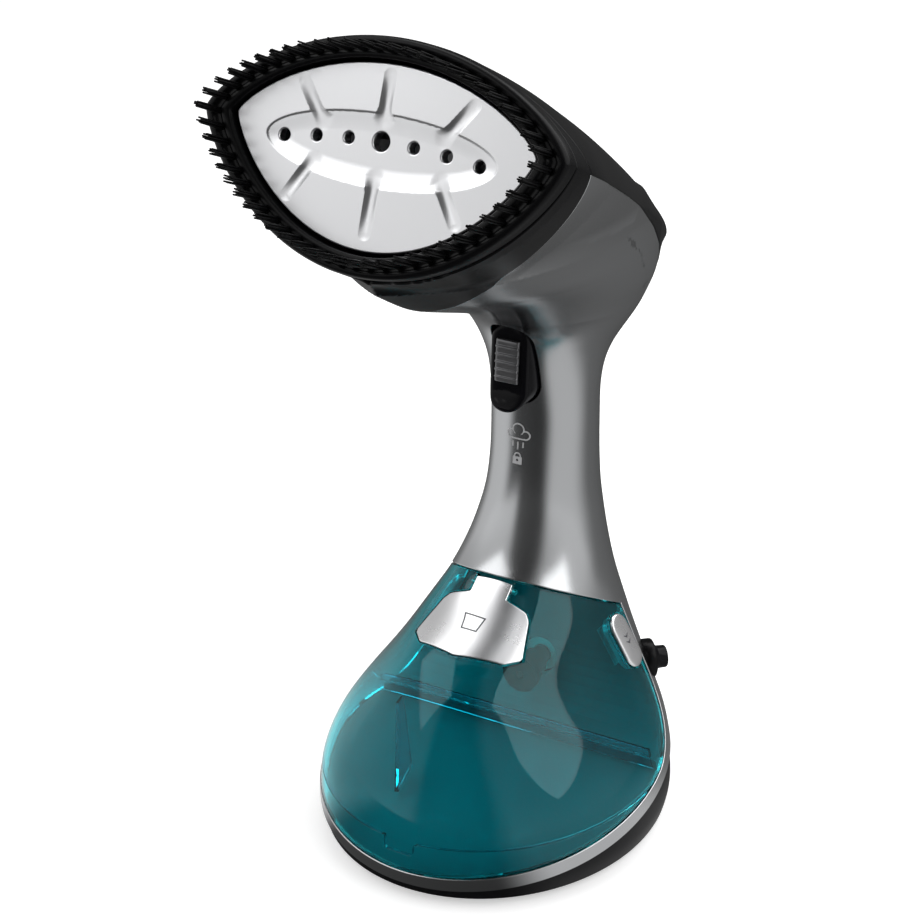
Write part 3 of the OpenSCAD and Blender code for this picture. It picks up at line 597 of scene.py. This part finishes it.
rear = region(lambda p: gland_d(p) - BALL_R - 2.2, start=rear)
panel("rear shell", rear, 0.0, 0.4, 2.0, "housing", ["rear_shell"], silver)
cover = region(lambda p: -ridge_d(p) - 0.5, lambda p: shroud_d(p) - 0.5, lambda p: -3.9 - to_face(p)[..., 2])
panel("head cover", cover, 0.15, 0.6, 2.0, "housing", ["head_cover"], black)
shroud = region(lambda p: -shroud_d(p) - 0.5, lambda p: -3.9 - to_face(p)[..., 2], lambda p: p[..., 2] - 180)
panel("head shroud", shroud, 0.1, 0.6, 6.0, "housing", ["head_shroud"], black)
foot = region(lambda p: -band_d(p, BAND_LOW) - 0.3, lambda p: p[..., 2] - 2.6)
panel("foot", foot, -0.7, 0.9, 3.0, "housing", ["foot"], matt_black)

# ---- tank ----
tank = region(lambda p: tank_d(p) - 0.9,
              lambda p: np.maximum(p[..., 2] - SEAM_Z - 0.3,
                                   np.minimum(5.1 - np.abs(p[..., 0]), p[..., 2] - 17.3)),
              lambda p: flap_d(p) - 0.7, lambda p: button_d(p) - 0.7)
panel("tank shell", tank, -0.3, 0.4, 2.0, "tank", ["tank_shell"], teal, inner=True)
low_tank = region(lambda p: tank_d(p) - 0.9,
                  lambda p: np.minimum(SEAM_Z - 0.3 - p[..., 2],
                                       np.maximum(np.abs(p[..., 0]) - 5.7, 16.7 - p[..., 2])))
panel("tank base", low_tank, -0.3, 0.4, 2.0, "tank", ["tank_base"], teal, inner=True)
flap = region(lambda p: -flap_d(p) - 0.45, lambda p: 14.2 - flap_xy(p)[1])
panel("filler flap", flap, 0.1, 0.45, 1.6, "flap", ["filler_flap"], silver_trim)

# ---- small solids built from rings ----
def grid_faces(rings, n, closed=True):
    """Quads as triangles between successive rings of n points."""
    out = []
    last = n if closed else n - 1
    for j in range(rings - 1):
        for k in range(last):
            a, b = j * n + k, j * n + (k + 1) % n
            c, d = (j + 1) * n + (k + 1) % n, (j + 1) * n + k
            out += [(a, b, c), (a, c, d)]
    return out


def stadium_ring(length, width, inset, n=48):
    """Points round a stadium along the first axis."""
    half, r = (length - width) / 2, width / 2 - inset
    pts = []
    for k in range(n):
        a = 2 * math.pi * (k + 0.5) / n
        pts.append(((half if math.cos(a) > 0 else -half) + r * math.cos(a), r * math.sin(a)))
    return np.array(pts)


def pillow(ring, low, high, radius, dome, steps=5):
    """Rings of a key: a wall from low, a rounded edge and a slightly domed top.

    ring(inset) gives the outline.
    """
    rings = [np.c_[ring(0), np.full(len(ring(0)), low)]]
    for j in range(steps + 1):
        f = math.pi / 2 * j / steps
        rings.append(np.c_[ring(radius * (1 - math.cos(f))),
                           np.full(len(ring(0)), high - radius * (1 - math.sin(f)))])
    flat = ring(radius)
    mid = flat.mean(0)
    for t in (0.85, 0.6, 0.3, 0.001):
        rings.append(np.c_[mid + (flat - mid) * t, np.full(len(flat), high + dome * (1 - t * t))])
    return rings


def button_world(local, side):
    """From along, across and out in a release button's frame."""
    cx, sx = math.cos(BUTTON_LEAN), math.sin(BUTTON_LEAN)
    x = side * (BUTTON[0] + local[:, 0] * sx + local[:, 2] * cx)
    z = BUTTON[2] - local[:, 0] * cx + local[:, 2] * sx
    return np.stack([x, BUTTON[1] + local[:, 1], z], 1)


def arrow_mark(shift):
    """A small arrow head as a flat outline."""
    return np.array([(shift, -1.6), (shift + 1.4, 0), (shift, 1.6), (shift + 0.5, 0)])


for side, name in ((-1, "left"), (1, "right")):
    rings = pillow(lambda inset: stadium_ring(19.8, 9.4, inset), -4.0, 1.1, 0.9, 0.15)
    pts = np.concatenate(rings)
    tris = np.array(grid_faces(len(rings), 48))
    tris = tris if side > 0 else tris[:, ::-1]
    obj = make("release button " + name, button_world(pts, side), tris)
    placed(obj, "release_" + name, ["release_button_" + name], silver_trim)
    for shift in (-2.2, 0.0):
        out = arrow_mark(shift)
        top = np.c_[out, np.full(4, 1.3)]
        low = np.c_[out, np.full(4, 1.0)]
        mark_faces = [(4, 5, 7), (5, 6, 7)] + grid_faces(2, 4)
        mark = make("button mark %s %d" % (name, shift), button_world(np.r_[low, top], side),
                    mark_faces, smooth=False)
        placed(mark, "release_" + name, [], print_dark)

# ---- steam plate ----
HOLES = [(k * HOLE_PITCH, -0.27 * k * k, (BIG_HOLE if k == 0 else SMALL_HOLE) / 2) for k in range(-3, 4)]


def lens_points(w, rise, drop, ridge, power, n):
    a = 2 * np.pi * np.arange(n) / n
    s = np.sin(a)
    return np.stack([w * np.cos(a), ridge + np.where(s > 0, rise, -drop) * np.abs(s) ** power], 1)


def lens_d(x, v, w, rise, drop, ridge, power):
    """Rough distance outside a lens outline."""
    d = v - ridge
    side = np.where(d > 0, rise, drop)
    q = (np.abs(d) / side) ** (2 / power) + (x / w) ** 2
    e = 0.02
    qx = ((np.abs(d) / side) ** (2 / power) + ((x + e) / w) ** 2 - q) / e
    qv = ((np.abs(d + e) / side) ** (2 / power) + (x / w) ** 2 - q) / e
    return (q - 1) / np.maximum(np.hypot(qx, qv), 0.012)


def smooth_min(a, b, k):
    """The smaller of two values, rounded where they meet."""
    h = np.maximum(k - np.abs(a - b), 0) / k
    return np.minimum(a, b) - h * h * k / 4


GROOVES = [(0, 6, 0, 18.5), (0, -10, 0, -26), (20, 3, 28, 13.5), (-20, 3, -28, 13.5),
           (21, -8, 28, -19), (-21, -8, -28, -19)]


def plate_height(x, v):
    """Height of the plate's face: a slightly domed face, a sunk bowl with a steep upper bank, and grooves."""
    dish = lens_d(x, v, 38.5, 10.4, 11.1, -2.2, 1.05)
    bank = np.clip(-dish / 0.8, 0, 1)
    rest = np.clip(-dish / 9.5, 0, 1)
    bowl = 0.3 * bank * bank * (3 - 2 * bank) + 0.75 * rest * (2 - rest)
    groove = np.zeros(np.shape(x))
    for ax, ay, bx, by in GROOVES:
        ex, ey = bx - ax, by - ay
        t = np.clip(((x - ax) * ex + (v - ay) * ey) / (ex * ex + ey * ey), 0, 1)
        flare = 2.2 + 2.0 * np.clip(1 - 3 * t, 0, 1) ** 2
        d = np.hypot(x - ax - t * ex, v - ay - t * ey) / flare
        across = np.clip(1 - d * d, 0, 1)
        groove = np.maximum(groove, 0.95 * across * (1 - 0.7 * t**2))
    cut = -smooth_min(-bowl, -groove, 0.6)
    return 0.2 + 0.35 * np.clip(1 - (x / 50) ** 2, 0, 1) - cut


def hole_d(p):
    """Distance outside the steam holes."""
    f = to_face(p)
    best = np.full(p.shape[:-1], FAR)
    for hx, hy, hr in HOLES:
        best = np.minimum(best, np.hypot(f[..., 0] - hx, f[..., 1] - hy) - hr - 0.45)
    return best


cell = 0.3
gu = np.arange(-50, 50 + cell, cell)
gv = np.arange(-32, 23, cell)
uu, vv = np.meshgrid(gu, gv, indexing="ij")
flat = from_face(uu.ravel(), vv.ravel(), np.zeros(uu.size))
ids = np.arange(uu.size).reshape(uu.shape)
quads = np.stack([ids[:-1, :-1], ids[1:, :-1], ids[1:, 1:], ids[:-1, 1:]], -1).reshape(-1, 4)
tris = np.concatenate([quads[:, [0, 1, 2]], quads[:, [0, 2, 3]]])


def plate_edge_d(p):
    """Distance inside the plate's outline."""
    f = to_face(p)
    return -lens_d(f[..., 0], f[..., 1], PLATE_W / 2 - 0.9, 19.3, 32.7, 2, 1.55)


plate = clip(clip((flat, tris), plate_edge_d), hole_d)
f = to_face(plate[0])
e = 0.05
h = plate_height(f[:, 0], f[:, 1])
hx = (plate_height(f[:, 0] + e, f[:, 1]) - plate_height(f[:, 0] - e, f[:, 1])) / (2 * e)
hv = (plate_height(f[:, 0], f[:, 1] + e) - plate_height(f[:, 0], f[:, 1] - e)) / (2 * e)
n = unit(-hx[:, None] * np.array([1.0, 0, 0]) - hv[:, None] * UP + OUT)
pts = from_face(f[:, 0], f[:, 1], h)
v, n, t = rimmed((pts, plate[1]), n, 0.6, 3.6)
placed(make("steam plate", v, t, n), "housing", ["steam_plate"], bright)

# ---- brush ring ----
N = 360
outer = lens_points(HEAD_W / 2, 27.3, 40.8, 2, 1.5, N)
inner = lens_points(PLATE_W / 2 + 0.8, 20.9, 34.4, 2, 1.55, N)
profile = [(0.0, -2.8), (0.0, 1.5), (0.02, 2.1), (0.06, 2.4), (0.2, 2.45), (0.29, 2.4),
           (0.33, 2.1), (0.35, 1.5), (0.62, 1.5), (0.64, 2.1), (0.68, 2.4), (0.8, 2.35),
           (0.9, 2.0), (0.97, 1.2), (1.0, 0.2), (1.0, -2.8)]
rings = []
for t, w in profile:
    c = inner + (outer - inner) * t
    rings.append(from_face(c[:, 0], c[:, 1], np.full(N, w)))
obj = make("brush frame", np.concatenate(rings), np.array(grid_faces(len(rings), N))[:, ::-1])
placed(obj, "brush", ["brush_frame"], black)

# ---- bristles ----
TUFTS = 54
rng = np.random.default_rng(5)
lean = math.radians(3)
axis = OUT * math.cos(lean) + UP * math.sin(lean)
turn = np.linspace(0, 2 * math.pi, 721)
line = np.stack([55.2 * np.cos(turn),
                 2 + np.where(np.sin(turn) > 0, 23.3, -36.8) * np.abs(np.sin(turn)) ** 1.5], 1)
run = np.concatenate([[0], np.cumsum(np.hypot(*np.diff(line, axis=0).T))])
FIBRES = [(0, 0)] + [(0.75 * math.cos(math.radians(60 * j)), 0.75 * math.sin(math.radians(60 * j)))
                     for j in range(6)]
verts, faces = [], []
for k in range(TUFTS):
    along = (k + 0.5) / TUFTS * run[-1]
    base = (np.interp(along, run, line[:, 0]), np.interp(along, run, line[:, 1]))
    for off in FIBRES:
        foot_p = from_face(np.array(base[0] + off[0]), base[1] + off[1], 1.4).reshape(3)
        tilt = unit(axis + np.array([1, 0, 0]) * rng.normal(0, 0.012) + UP * rng.normal(0, 0.012))
        tip = foot_p + tilt * (11.8 + rng.uniform(-0.5, 0.1))
        e1 = unit(np.cross(tilt, np.array([1.0, 0, 0])))
        e2 = np.cross(tilt, e1)
        start = len(verts)
        for c, r in ((foot_p, 0.36), ((foot_p + tip) / 2, 0.34), (tip, 0.27)):
            for j in range(6):
                f = 2 * math.pi * j / 6
                verts.append(c + e1 * r * math.cos(f) + e2 * r * math.sin(f))
        verts.append(tip + tilt * 0.1)
        for j in range(6):
            b = (j + 1) % 6
            for lvl in (0, 6):
                faces += [(start + lvl + j, start + lvl + 6 + b, start + lvl + b),
                          (start + lvl + j, start + lvl + 6 + j, start + lvl + 6 + b)]
            faces.append((start + 12 + j, start + 18, start + 12 + b))
placed(make("bristles", verts, faces), "brush", ["bristles"], bristle)

# ---- trigger ----
TRIGGER_Z, TRIGGER_SIZE, TRIGGER_SIDES = 160, (30.2, 14.2), 96
TRIGGER = [(13.2, 174.8), (12.0, 169), (11.6, 162), (10.7, 154), (10.2, 149.6), (7.6, 147.4)]


def trigger_front(z):
    """Front line of the trigger along its height."""
    zs = [r[1] for r in TRIGGER][::-1]
    ys = [r[0] for r in TRIGGER][::-1]
    grid_z = np.arange(140, 182, 0.25)
    soft_y = blurred(np.interp(grid_z, zs, ys), 0.25, 1.2)
    return np.interp(z, grid_z, soft_y)


trigger_rings = []
for inset, back in ((0, 14.0), (0, 1.2), (0.08, 0.75), (0.35, 0.35), (0.8, 0.08), (1.3, 0.0)):
    r = stadium_ring(*TRIGGER_SIZE, inset, TRIGGER_SIDES)
    z = TRIGGER_Z + r[:, 0]
    trigger_rings.append(np.stack([r[:, 1], trigger_front(z) + 0.15 + back + 0.012 * r[:, 1] ** 2, z], 1))
edge = stadium_ring(*TRIGGER_SIZE, 1.3, TRIGGER_SIDES)
for t in (0.9, 0.75, 0.55, 0.35, 0.15, 0.001):
    # The middle line closes the face, so the ring narrows to it and keeps its length
    r = np.stack([edge[:, 0] * (0.25 + 0.75 * t), edge[:, 1] * t], 1)
    z = TRIGGER_Z + r[:, 0]
    trigger_rings.append(np.stack([r[:, 1], trigger_front(z) + 0.15 + 0.012 * r[:, 1] ** 2, z], 1))
tf = np.array(grid_faces(len(trigger_rings), TRIGGER_SIDES))
obj = make("trigger", np.concatenate(trigger_rings), tf[:, ::-1])
placed(obj, "trigger", ["trigger"], gloss_black)

SLIDER_Y, SLIDER_Z, SLIDER_TILT = 11.7, 162.0, math.radians(7)
down = np.array([0, -math.sin(SLIDER_TILT), -math.cos(SLIDER_TILT)])
front_dir = np.array([0, -math.cos(SLIDER_TILT), math.sin(SLIDER_TILT)])


def slider_world(p):
    """From across, up the slider and out of it."""
    return (np.array([0, SLIDER_Y, SLIDER_Z]) + p[:, [0]] * np.array([1.0, 0, 0])
            - p[:, [1]] * down + p[:, [2]] * front_dir)


def slider_profile(v):
    """Height of the slider's ribbed face along its length."""
    rib = 0.55 * np.clip(np.cos(2 * np.pi * (v + 0.4) / 2.6) * 1.6 - 0.5, 0, 1)
    return 1.4 + rib * (np.abs(v) < 5.6)


sv = np.concatenate([[-7.2, -7.2, -7.1, -6.8], np.linspace(-6.3, 6.3, 100), [6.8, 7.1, 7.2, 7.2]])
sh = np.concatenate([[0.35, 1.0, 1.25, 1.36], slider_profile(np.linspace(-6.3, 6.3, 100)),
                     [1.36, 1.25, 1.0, 0.35]])
su = np.array([-4.2, -4.2, -4.1, -3.8, -3.4, -1.5, 1.5, 3.4, 3.8, 4.1, 4.2, 4.2])
drop = np.array([9, 0.55, 0.25, 0.07, 0, 0, 0, 0, 0.07, 0.25, 0.55, 9])
pts = []
for a, d in zip(su, drop):
    for b, hgt in zip(sv, sh):
        pts.append((a, b, max(0.35, hgt - d)))
obj = make("lock slider", slider_world(np.array(pts)), grid_faces(len(su), len(sv), closed=False))
placed(obj, "lock_slider", ["lock_slider"], slider_grey)


# ---- prints ----
def print_mesh(name, shape_d, low, high, to_world, cellsize, body, nodes, mat):
    """A thin print: the part of a fine flat grid where shape_d is negative, laid on a surface."""
    a = np.arange(low[0], high[0] + cellsize, cellsize)
    b = np.arange(low[1], high[1] + cellsize, cellsize)
    aa, bb = np.meshgrid(a, b, indexing="ij")
    flat_v = np.stack([aa.ravel(), bb.ravel(), np.zeros(aa.size)], 1)
    ids = np.arange(aa.size).reshape(aa.shape)
    q = np.stack([ids[:-1, :-1], ids[1:, :-1], ids[1:, 1:], ids[:-1, 1:]], -1).reshape(-1, 4)
    m = clip((flat_v, np.concatenate([q[:, [0, 1, 2]], q[:, [0, 2, 3]]])),
             lambda p: -shape_d(p[..., 0], p[..., 1]))
    w, nrm = to_world(m[0])
    return placed(make(name, w, m[1], nrm), body, nodes, mat)


def circle_d(a, b, ca, cb, r):
    return np.hypot(a - ca, b - cb) - r


def box_d(a, b, a0, a1, b0, b1):
    return np.maximum(np.abs(a - (a0 + a1) / 2) - (a1 - a0) / 2, np.abs(b - (b0 + b1) / 2) - (b1 - b0) / 2)


def steam_icon_d(a, b):
    cloud = np.minimum(circle_d(a, b, -2.7, 133.0, 1.7), circle_d(a, b, 0, 134.8, 2.3))
    cloud = np.minimum(cloud, circle_d(a, b, 2.7, 133.0, 1.7))
    cloud = np.minimum(cloud, box_d(a, b, -2.7, 2.7, 131.3, 133.7))
    line = np.abs(cloud + 0.25) - 0.25
    for x, low in ((-1.9, 128.6), (0, 127.8), (1.9, 128.6)):
        line = np.minimum(line, box_d(a, b, x - 0.25, x + 0.25, low, 130.5))
    return line


def padlock_d(a, b):
    body = box_d(a, b, -1.7, 1.7, 122.6, 125.2)
    body = np.maximum(body, -circle_d(a, b, 0, 124.0, 0.45))
    loop = np.maximum(np.abs(circle_d(a, b, 0, 125.4, 1.1)) - 0.22, 125.2 - b)
    return np.minimum(body, loop)


def on_front(p):
    """Straight back onto the front of the form."""
    w = np.stack([p[:, 0], np.full(len(p), 16.5), p[:, 1]], 1)
    for _ in range(8):
        step = form_field(w) - 0.1
        slope = (form_field(w + np.array([0, 0.05, 0])) - form_field(w)) / 0.05
        w[:, 1] -= step / np.where(np.abs(slope) < 0.2, -0.2, slope)
    return w, unit(gradient(form_field, w))


mark_cell = 0.08
print_mesh("steam mark", lambda a, b: np.minimum(steam_icon_d(a, b), padlock_d(a, b)),
           (-5, 121.8), (5, 137.8), on_front, mark_cell, "housing", ["steam_mark"],
           print_light)
JUG = [(-3, -3), (3, -3), (3.8, 3), (-4.6, 3.4), (-3.8, 1)]


def jug_d(a, b):
    return np.abs(polygon_d(a, b, JUG) + 0.25) - 0.25


def on_flap(p):
    """Straight down the flap's normal onto the form."""
    cs, sn = math.cos(FLAP_SLOPE), math.sin(FLAP_SLOPE)
    b = p[:, 1] - 3.0
    w = np.stack([p[:, 0], FLAP_Y + b * cs, FLAP_Z + b * sn], 1)
    nd = np.array([0, -sn, cs])
    for _ in range(8):
        step = form_field(w) - 0.2
        slope = (form_field(w + 0.05 * nd) - form_field(w)) / 0.05
        w -= (step / np.where(np.abs(slope) < 0.2, 0.2, slope))[:, None] * nd
    return w, unit(gradient(form_field, w))


print_mesh("jug mark", jug_d, (-5.2, -3.8), (4.4, 4.0), on_flap, mark_cell, "flap", ["jug_mark"],
           print_dark)


# ---- cord swivel ----
def turned(name, profile, body, nodes, mat, n=72):
    """A profile of (radius, along) turned about the cord outlet's axis."""
    ax = np.array([math.cos(GLAND_TURN), math.sin(GLAND_TURN), 0])
    e1 = np.array([-math.sin(GLAND_TURN), math.cos(GLAND_TURN), 0])
    e2 = np.cross(ax, e1)
    pts = []
    for r, h in profile:
        for k in range(n):
            f = 2 * math.pi * k / n
            pts.append(np.array(GLAND) + ax * h + e1 * r * math.cos(f) + e2 * r * math.sin(f))
    return placed(make(name, pts, grid_faces(len(profile), n)), body, nodes, mat)


ball = [(2.6, -3.8)]
for j in range(24):
    f = math.radians(-60 + 100 * j / 23)
    ball.append((BALL_R * math.cos(f), BALL_R * math.sin(f)))
ball += [(4.0, 3.6), (3.95, 6.2), (3.7, 6.7), (3.3, 6.9), (2.8, 6.8), (2.6, 6.5), (2.6, -3.8)]
turned("cord swivel", ball, "cord_swivel", ["cord_swivel"], gloss_black)
collar = [(5.5, 0.5), (5.1, 2.2), (5.3, 2.35), (6.0, 2.4), (6.6, 2.1), (6.85, 1.6), (6.9, 0.8), (6.9, -3.5),
          (5.5, -3.5), (5.5, 0.5)]
turned("gland collar", collar, "housing", ["gland_collar"], black)

# ---- finishes for the CAD nodes that stay ----
plain = {
    "black_satin": black, "black_matte": matt_black, "black_gloss": gloss_black, "silver_paint": silver,
    "tank_teal": teal, "polished_plate": bright, "flap_silver": silver_trim, "button_silver": silver_trim,
}
for node, obj in frame["nodes"].items():
    slot = {s["node"]: s["material_slot"] for s in frame["record"]["subparts"]}[node]
    if slot in plain:
        obj.data.materials.clear()
        obj.data.materials.append(cradle_grey if node == "tank_cradle" else plain[slot])

# ---- floor, light and camera ----
CAMERA_AZ = math.radians(31.47)


def link(tree, out, into):
    tree.links.new(out, into)


def room_light(tree, vector, stops, low, high):
    """Strength of the room's light seen in reflections.

    It goes by the angle round from the front direction, which is fixed in the world, and by height.
    """
    nodes = tree.nodes
    split = nodes.new("ShaderNodeSeparateXYZ")
    link(tree, vector, split.inputs["Vector"])
    flip = nodes.new("ShaderNodeMath")
    flip.operation = "MULTIPLY"
    flip.inputs[1].default_value = -1
    link(tree, split.outputs["Y"], flip.inputs[0])
    angle = nodes.new("ShaderNodeMath")
    angle.operation = "ARCTAN2"
    link(tree, split.outputs["X"], angle.inputs[0])
    link(tree, flip.outputs["Value"], angle.inputs[1])
    share = nodes.new("ShaderNodeMapRange")
    share.inputs["From Min"].default_value = -math.pi
    share.inputs["From Max"].default_value = math.pi
    link(tree, angle.outputs["Value"], share.inputs["Value"])
    ramp = nodes.new("ShaderNodeValToRGB")
    ramp.color_ramp.interpolation = "EASE"
    points = ramp.color_ramp.elements
    while len(points) < len(stops):
        points.new(0.5)
    for point, (turn, level) in zip(points, stops):
        point.position = turn / 360 + 0.5
        point.color = (level, level, level, 1)
    link(tree, share.outputs["Result"], ramp.inputs["Fac"])
    fade = nodes.new("ShaderNodeMapRange")
    fade.inputs["From Min"].default_value = 0
    fade.inputs["From Max"].default_value = 0.9
    fade.inputs["To Min"].default_value = low
    fade.inputs["To Max"].default_value = high
    link(tree, split.outputs["Z"], fade.inputs["Value"])
    both = nodes.new("ShaderNodeMath")
    both.operation = "MULTIPLY"
    link(tree, ramp.outputs["Color"], both.inputs[0])
    link(tree, fade.outputs["Result"], both.inputs[1])
    return both.outputs["Value"]


# Brightness round the room, in degrees from the front direction
LOW_ROOM = [(-180, 0.1), (-158, 0.2), (-128, 0.8), (-92, 0.85), (-68, 0.08), (0, 0.05),
            (24, 0.75), (66, 0.75), (105, 0.2), (180, 0.06)]
HIGH_ROOM = [(-180, 0.1), (-140, 0.6), (-100, 1.0), (-54, 1.0), (-42, 0.12), (4, 0.08), (24, 0.9), (76, 0.9),
             (112, 0.25), (180, 0.08)]

floor_mesh = bpy.data.meshes.new("floor")
FLOOR_R = 9.0
floor_corners = [(i * FLOOR_R, j * FLOOR_R, 0) for i, j in ((-1, -1), (1, -1), (1, 1), (-1, 1))]
floor_mesh.from_pydata(floor_corners, [], [(0, 1, 2, 3)])
floor = bpy.data.objects.new("floor", floor_mesh)
floor.rotation_euler[2] = CAMERA_AZ
bpy.context.scene.collection.objects.link(floor)
floor_paint = material("floor", (0.88, 0.88, 0.88), 0.7)
tree = floor_paint.node_tree
seen = tree.nodes.new("ShaderNodeLightPath")
glow = tree.nodes.new("ShaderNodeMath")
glow.operation = "MULTIPLY"
glow.inputs[1].default_value = 0.5
link(tree, seen.outputs["Is Camera Ray"], glow.inputs[0])
paint = tree.nodes["Principled BSDF"]
paint.inputs["Emission Color"].default_value = (1, 1, 1, 1)
link(tree, glow.outputs["Value"], paint.inputs["Emission Strength"])
where = tree.nodes.new("ShaderNodeTexCoord")
mirrored = tree.nodes.new("ShaderNodeEmission")
link(tree, room_light(tree, where.outputs["Object"], LOW_ROOM, 1.0, 1.0), mirrored.inputs["Strength"])
choose = tree.nodes.new("ShaderNodeMixShader")
link(tree, seen.outputs["Is Glossy Ray"], choose.inputs["Fac"])
link(tree, paint.outputs["BSDF"], choose.inputs[1])
link(tree, mirrored.outputs["Emission"], choose.inputs[2])
link(tree, choose.outputs["Shader"], tree.nodes["Material Output"].inputs["Surface"])
floor.data.materials.append(floor_paint)
floor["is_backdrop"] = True

# The background is a white room, and reflections show one with dark and bright walls
world = bpy.data.worlds.new("studio")
world.use_nodes = True
tree = world.node_tree
room = tree.nodes["Background"]
room.inputs["Color"].default_value = (1, 1, 1, 1)
where = tree.nodes.new("ShaderNodeTexCoord")
turn = tree.nodes.new("ShaderNodeMapping")
turn.inputs["Rotation"].default_value = (0, 0, -CAMERA_AZ)
link(tree, where.outputs["Generated"], turn.inputs["Vector"])
link(tree, room_light(tree, turn.outputs["Vector"], HIGH_ROOM, 1.0, 0.35), room.inputs["Strength"])
white = tree.nodes.new("ShaderNodeBackground")
white.inputs["Color"].default_value = (1, 1, 1, 1)
white.inputs["Strength"].default_value = 1.0
choose = tree.nodes.new("ShaderNodeMixShader")
seen = tree.nodes.new("ShaderNodeLightPath")
link(tree, seen.outputs["Is Camera Ray"], choose.inputs["Fac"])
link(tree, room.outputs["Background"], choose.inputs[1])
link(tree, white.outputs["Background"], choose.inputs[2])
link(tree, choose.outputs["Shader"], tree.nodes["World Output"].inputs["Surface"])
bpy.context.scene.world = world


def softbox(name, turn, rise, distance, width, height, radiance):
    """A soft light: turn and rise in degrees round the object from the front direction."""
    light = bpy.data.lights.new(name, "AREA")
    light.shape = "RECTANGLE"
    light.size, light.size_y = width, height
    light.energy = radiance * math.pi * width * height
    obj = bpy.data.objects.new(name, light)
    bpy.context.scene.collection.objects.link(obj)
    a, e = CAMERA_AZ + math.radians(turn), math.radians(rise)
    back = np.array([math.cos(e) * math.sin(a), -math.cos(e) * math.cos(a), math.sin(e)])
    right = unit(np.cross([0, 0, 1.0], back))
    up = np.cross(back, right)
    m = np.eye(4)
    m[:3, 0], m[:3, 1], m[:3, 2], m[:3, 3] = right, up, back, np.array([0, 0, 0.12]) + back * distance
    obj.matrix_world = Matrix(m.tolist())
    return obj


softbox("left", -94, 50, 1.1, 1.1, 0.7, 1.5)
softbox("right", 94, 46, 1.1, 2.0, 0.85, 1.9)
softbox("back", 170, 65, 1.3, 1.0, 0.6, 3.0)

AZ, EL, ROLL = CAMERA_AZ, math.radians(26.21), math.radians(-1.5)
back = np.array([math.sin(AZ) * math.cos(EL), -math.cos(AZ) * math.cos(EL), math.sin(EL)])
right = np.array([math.cos(AZ), math.sin(AZ), 0])
up = np.cross(back, right)
right, up = (right * math.cos(ROLL) + up * math.sin(ROLL), up * math.cos(ROLL) - right * math.sin(ROLL))
cam = bpy.data.cameras.new("camera")
cam.sensor_fit = "VERTICAL"
cam.sensor_height = 36.0
cam.lens = 86.18
cam.clip_start, cam.clip_end = 0.05, 20
cam_obj = bpy.data.objects.new("camera", cam)
m = np.eye(4)
m[:3, 0], m[:3, 1], m[:3, 2], m[:3, 3] = right, up, back, (0.3239, -0.5558, 0.4485)
bpy.context.scene.collection.objects.link(cam_obj)
cam_obj.matrix_world = Matrix(m.tolist())
bpy.context.scene.camera = cam_obj
bpy.context.scene.view_settings.view_transform = "Standard"

low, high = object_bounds()
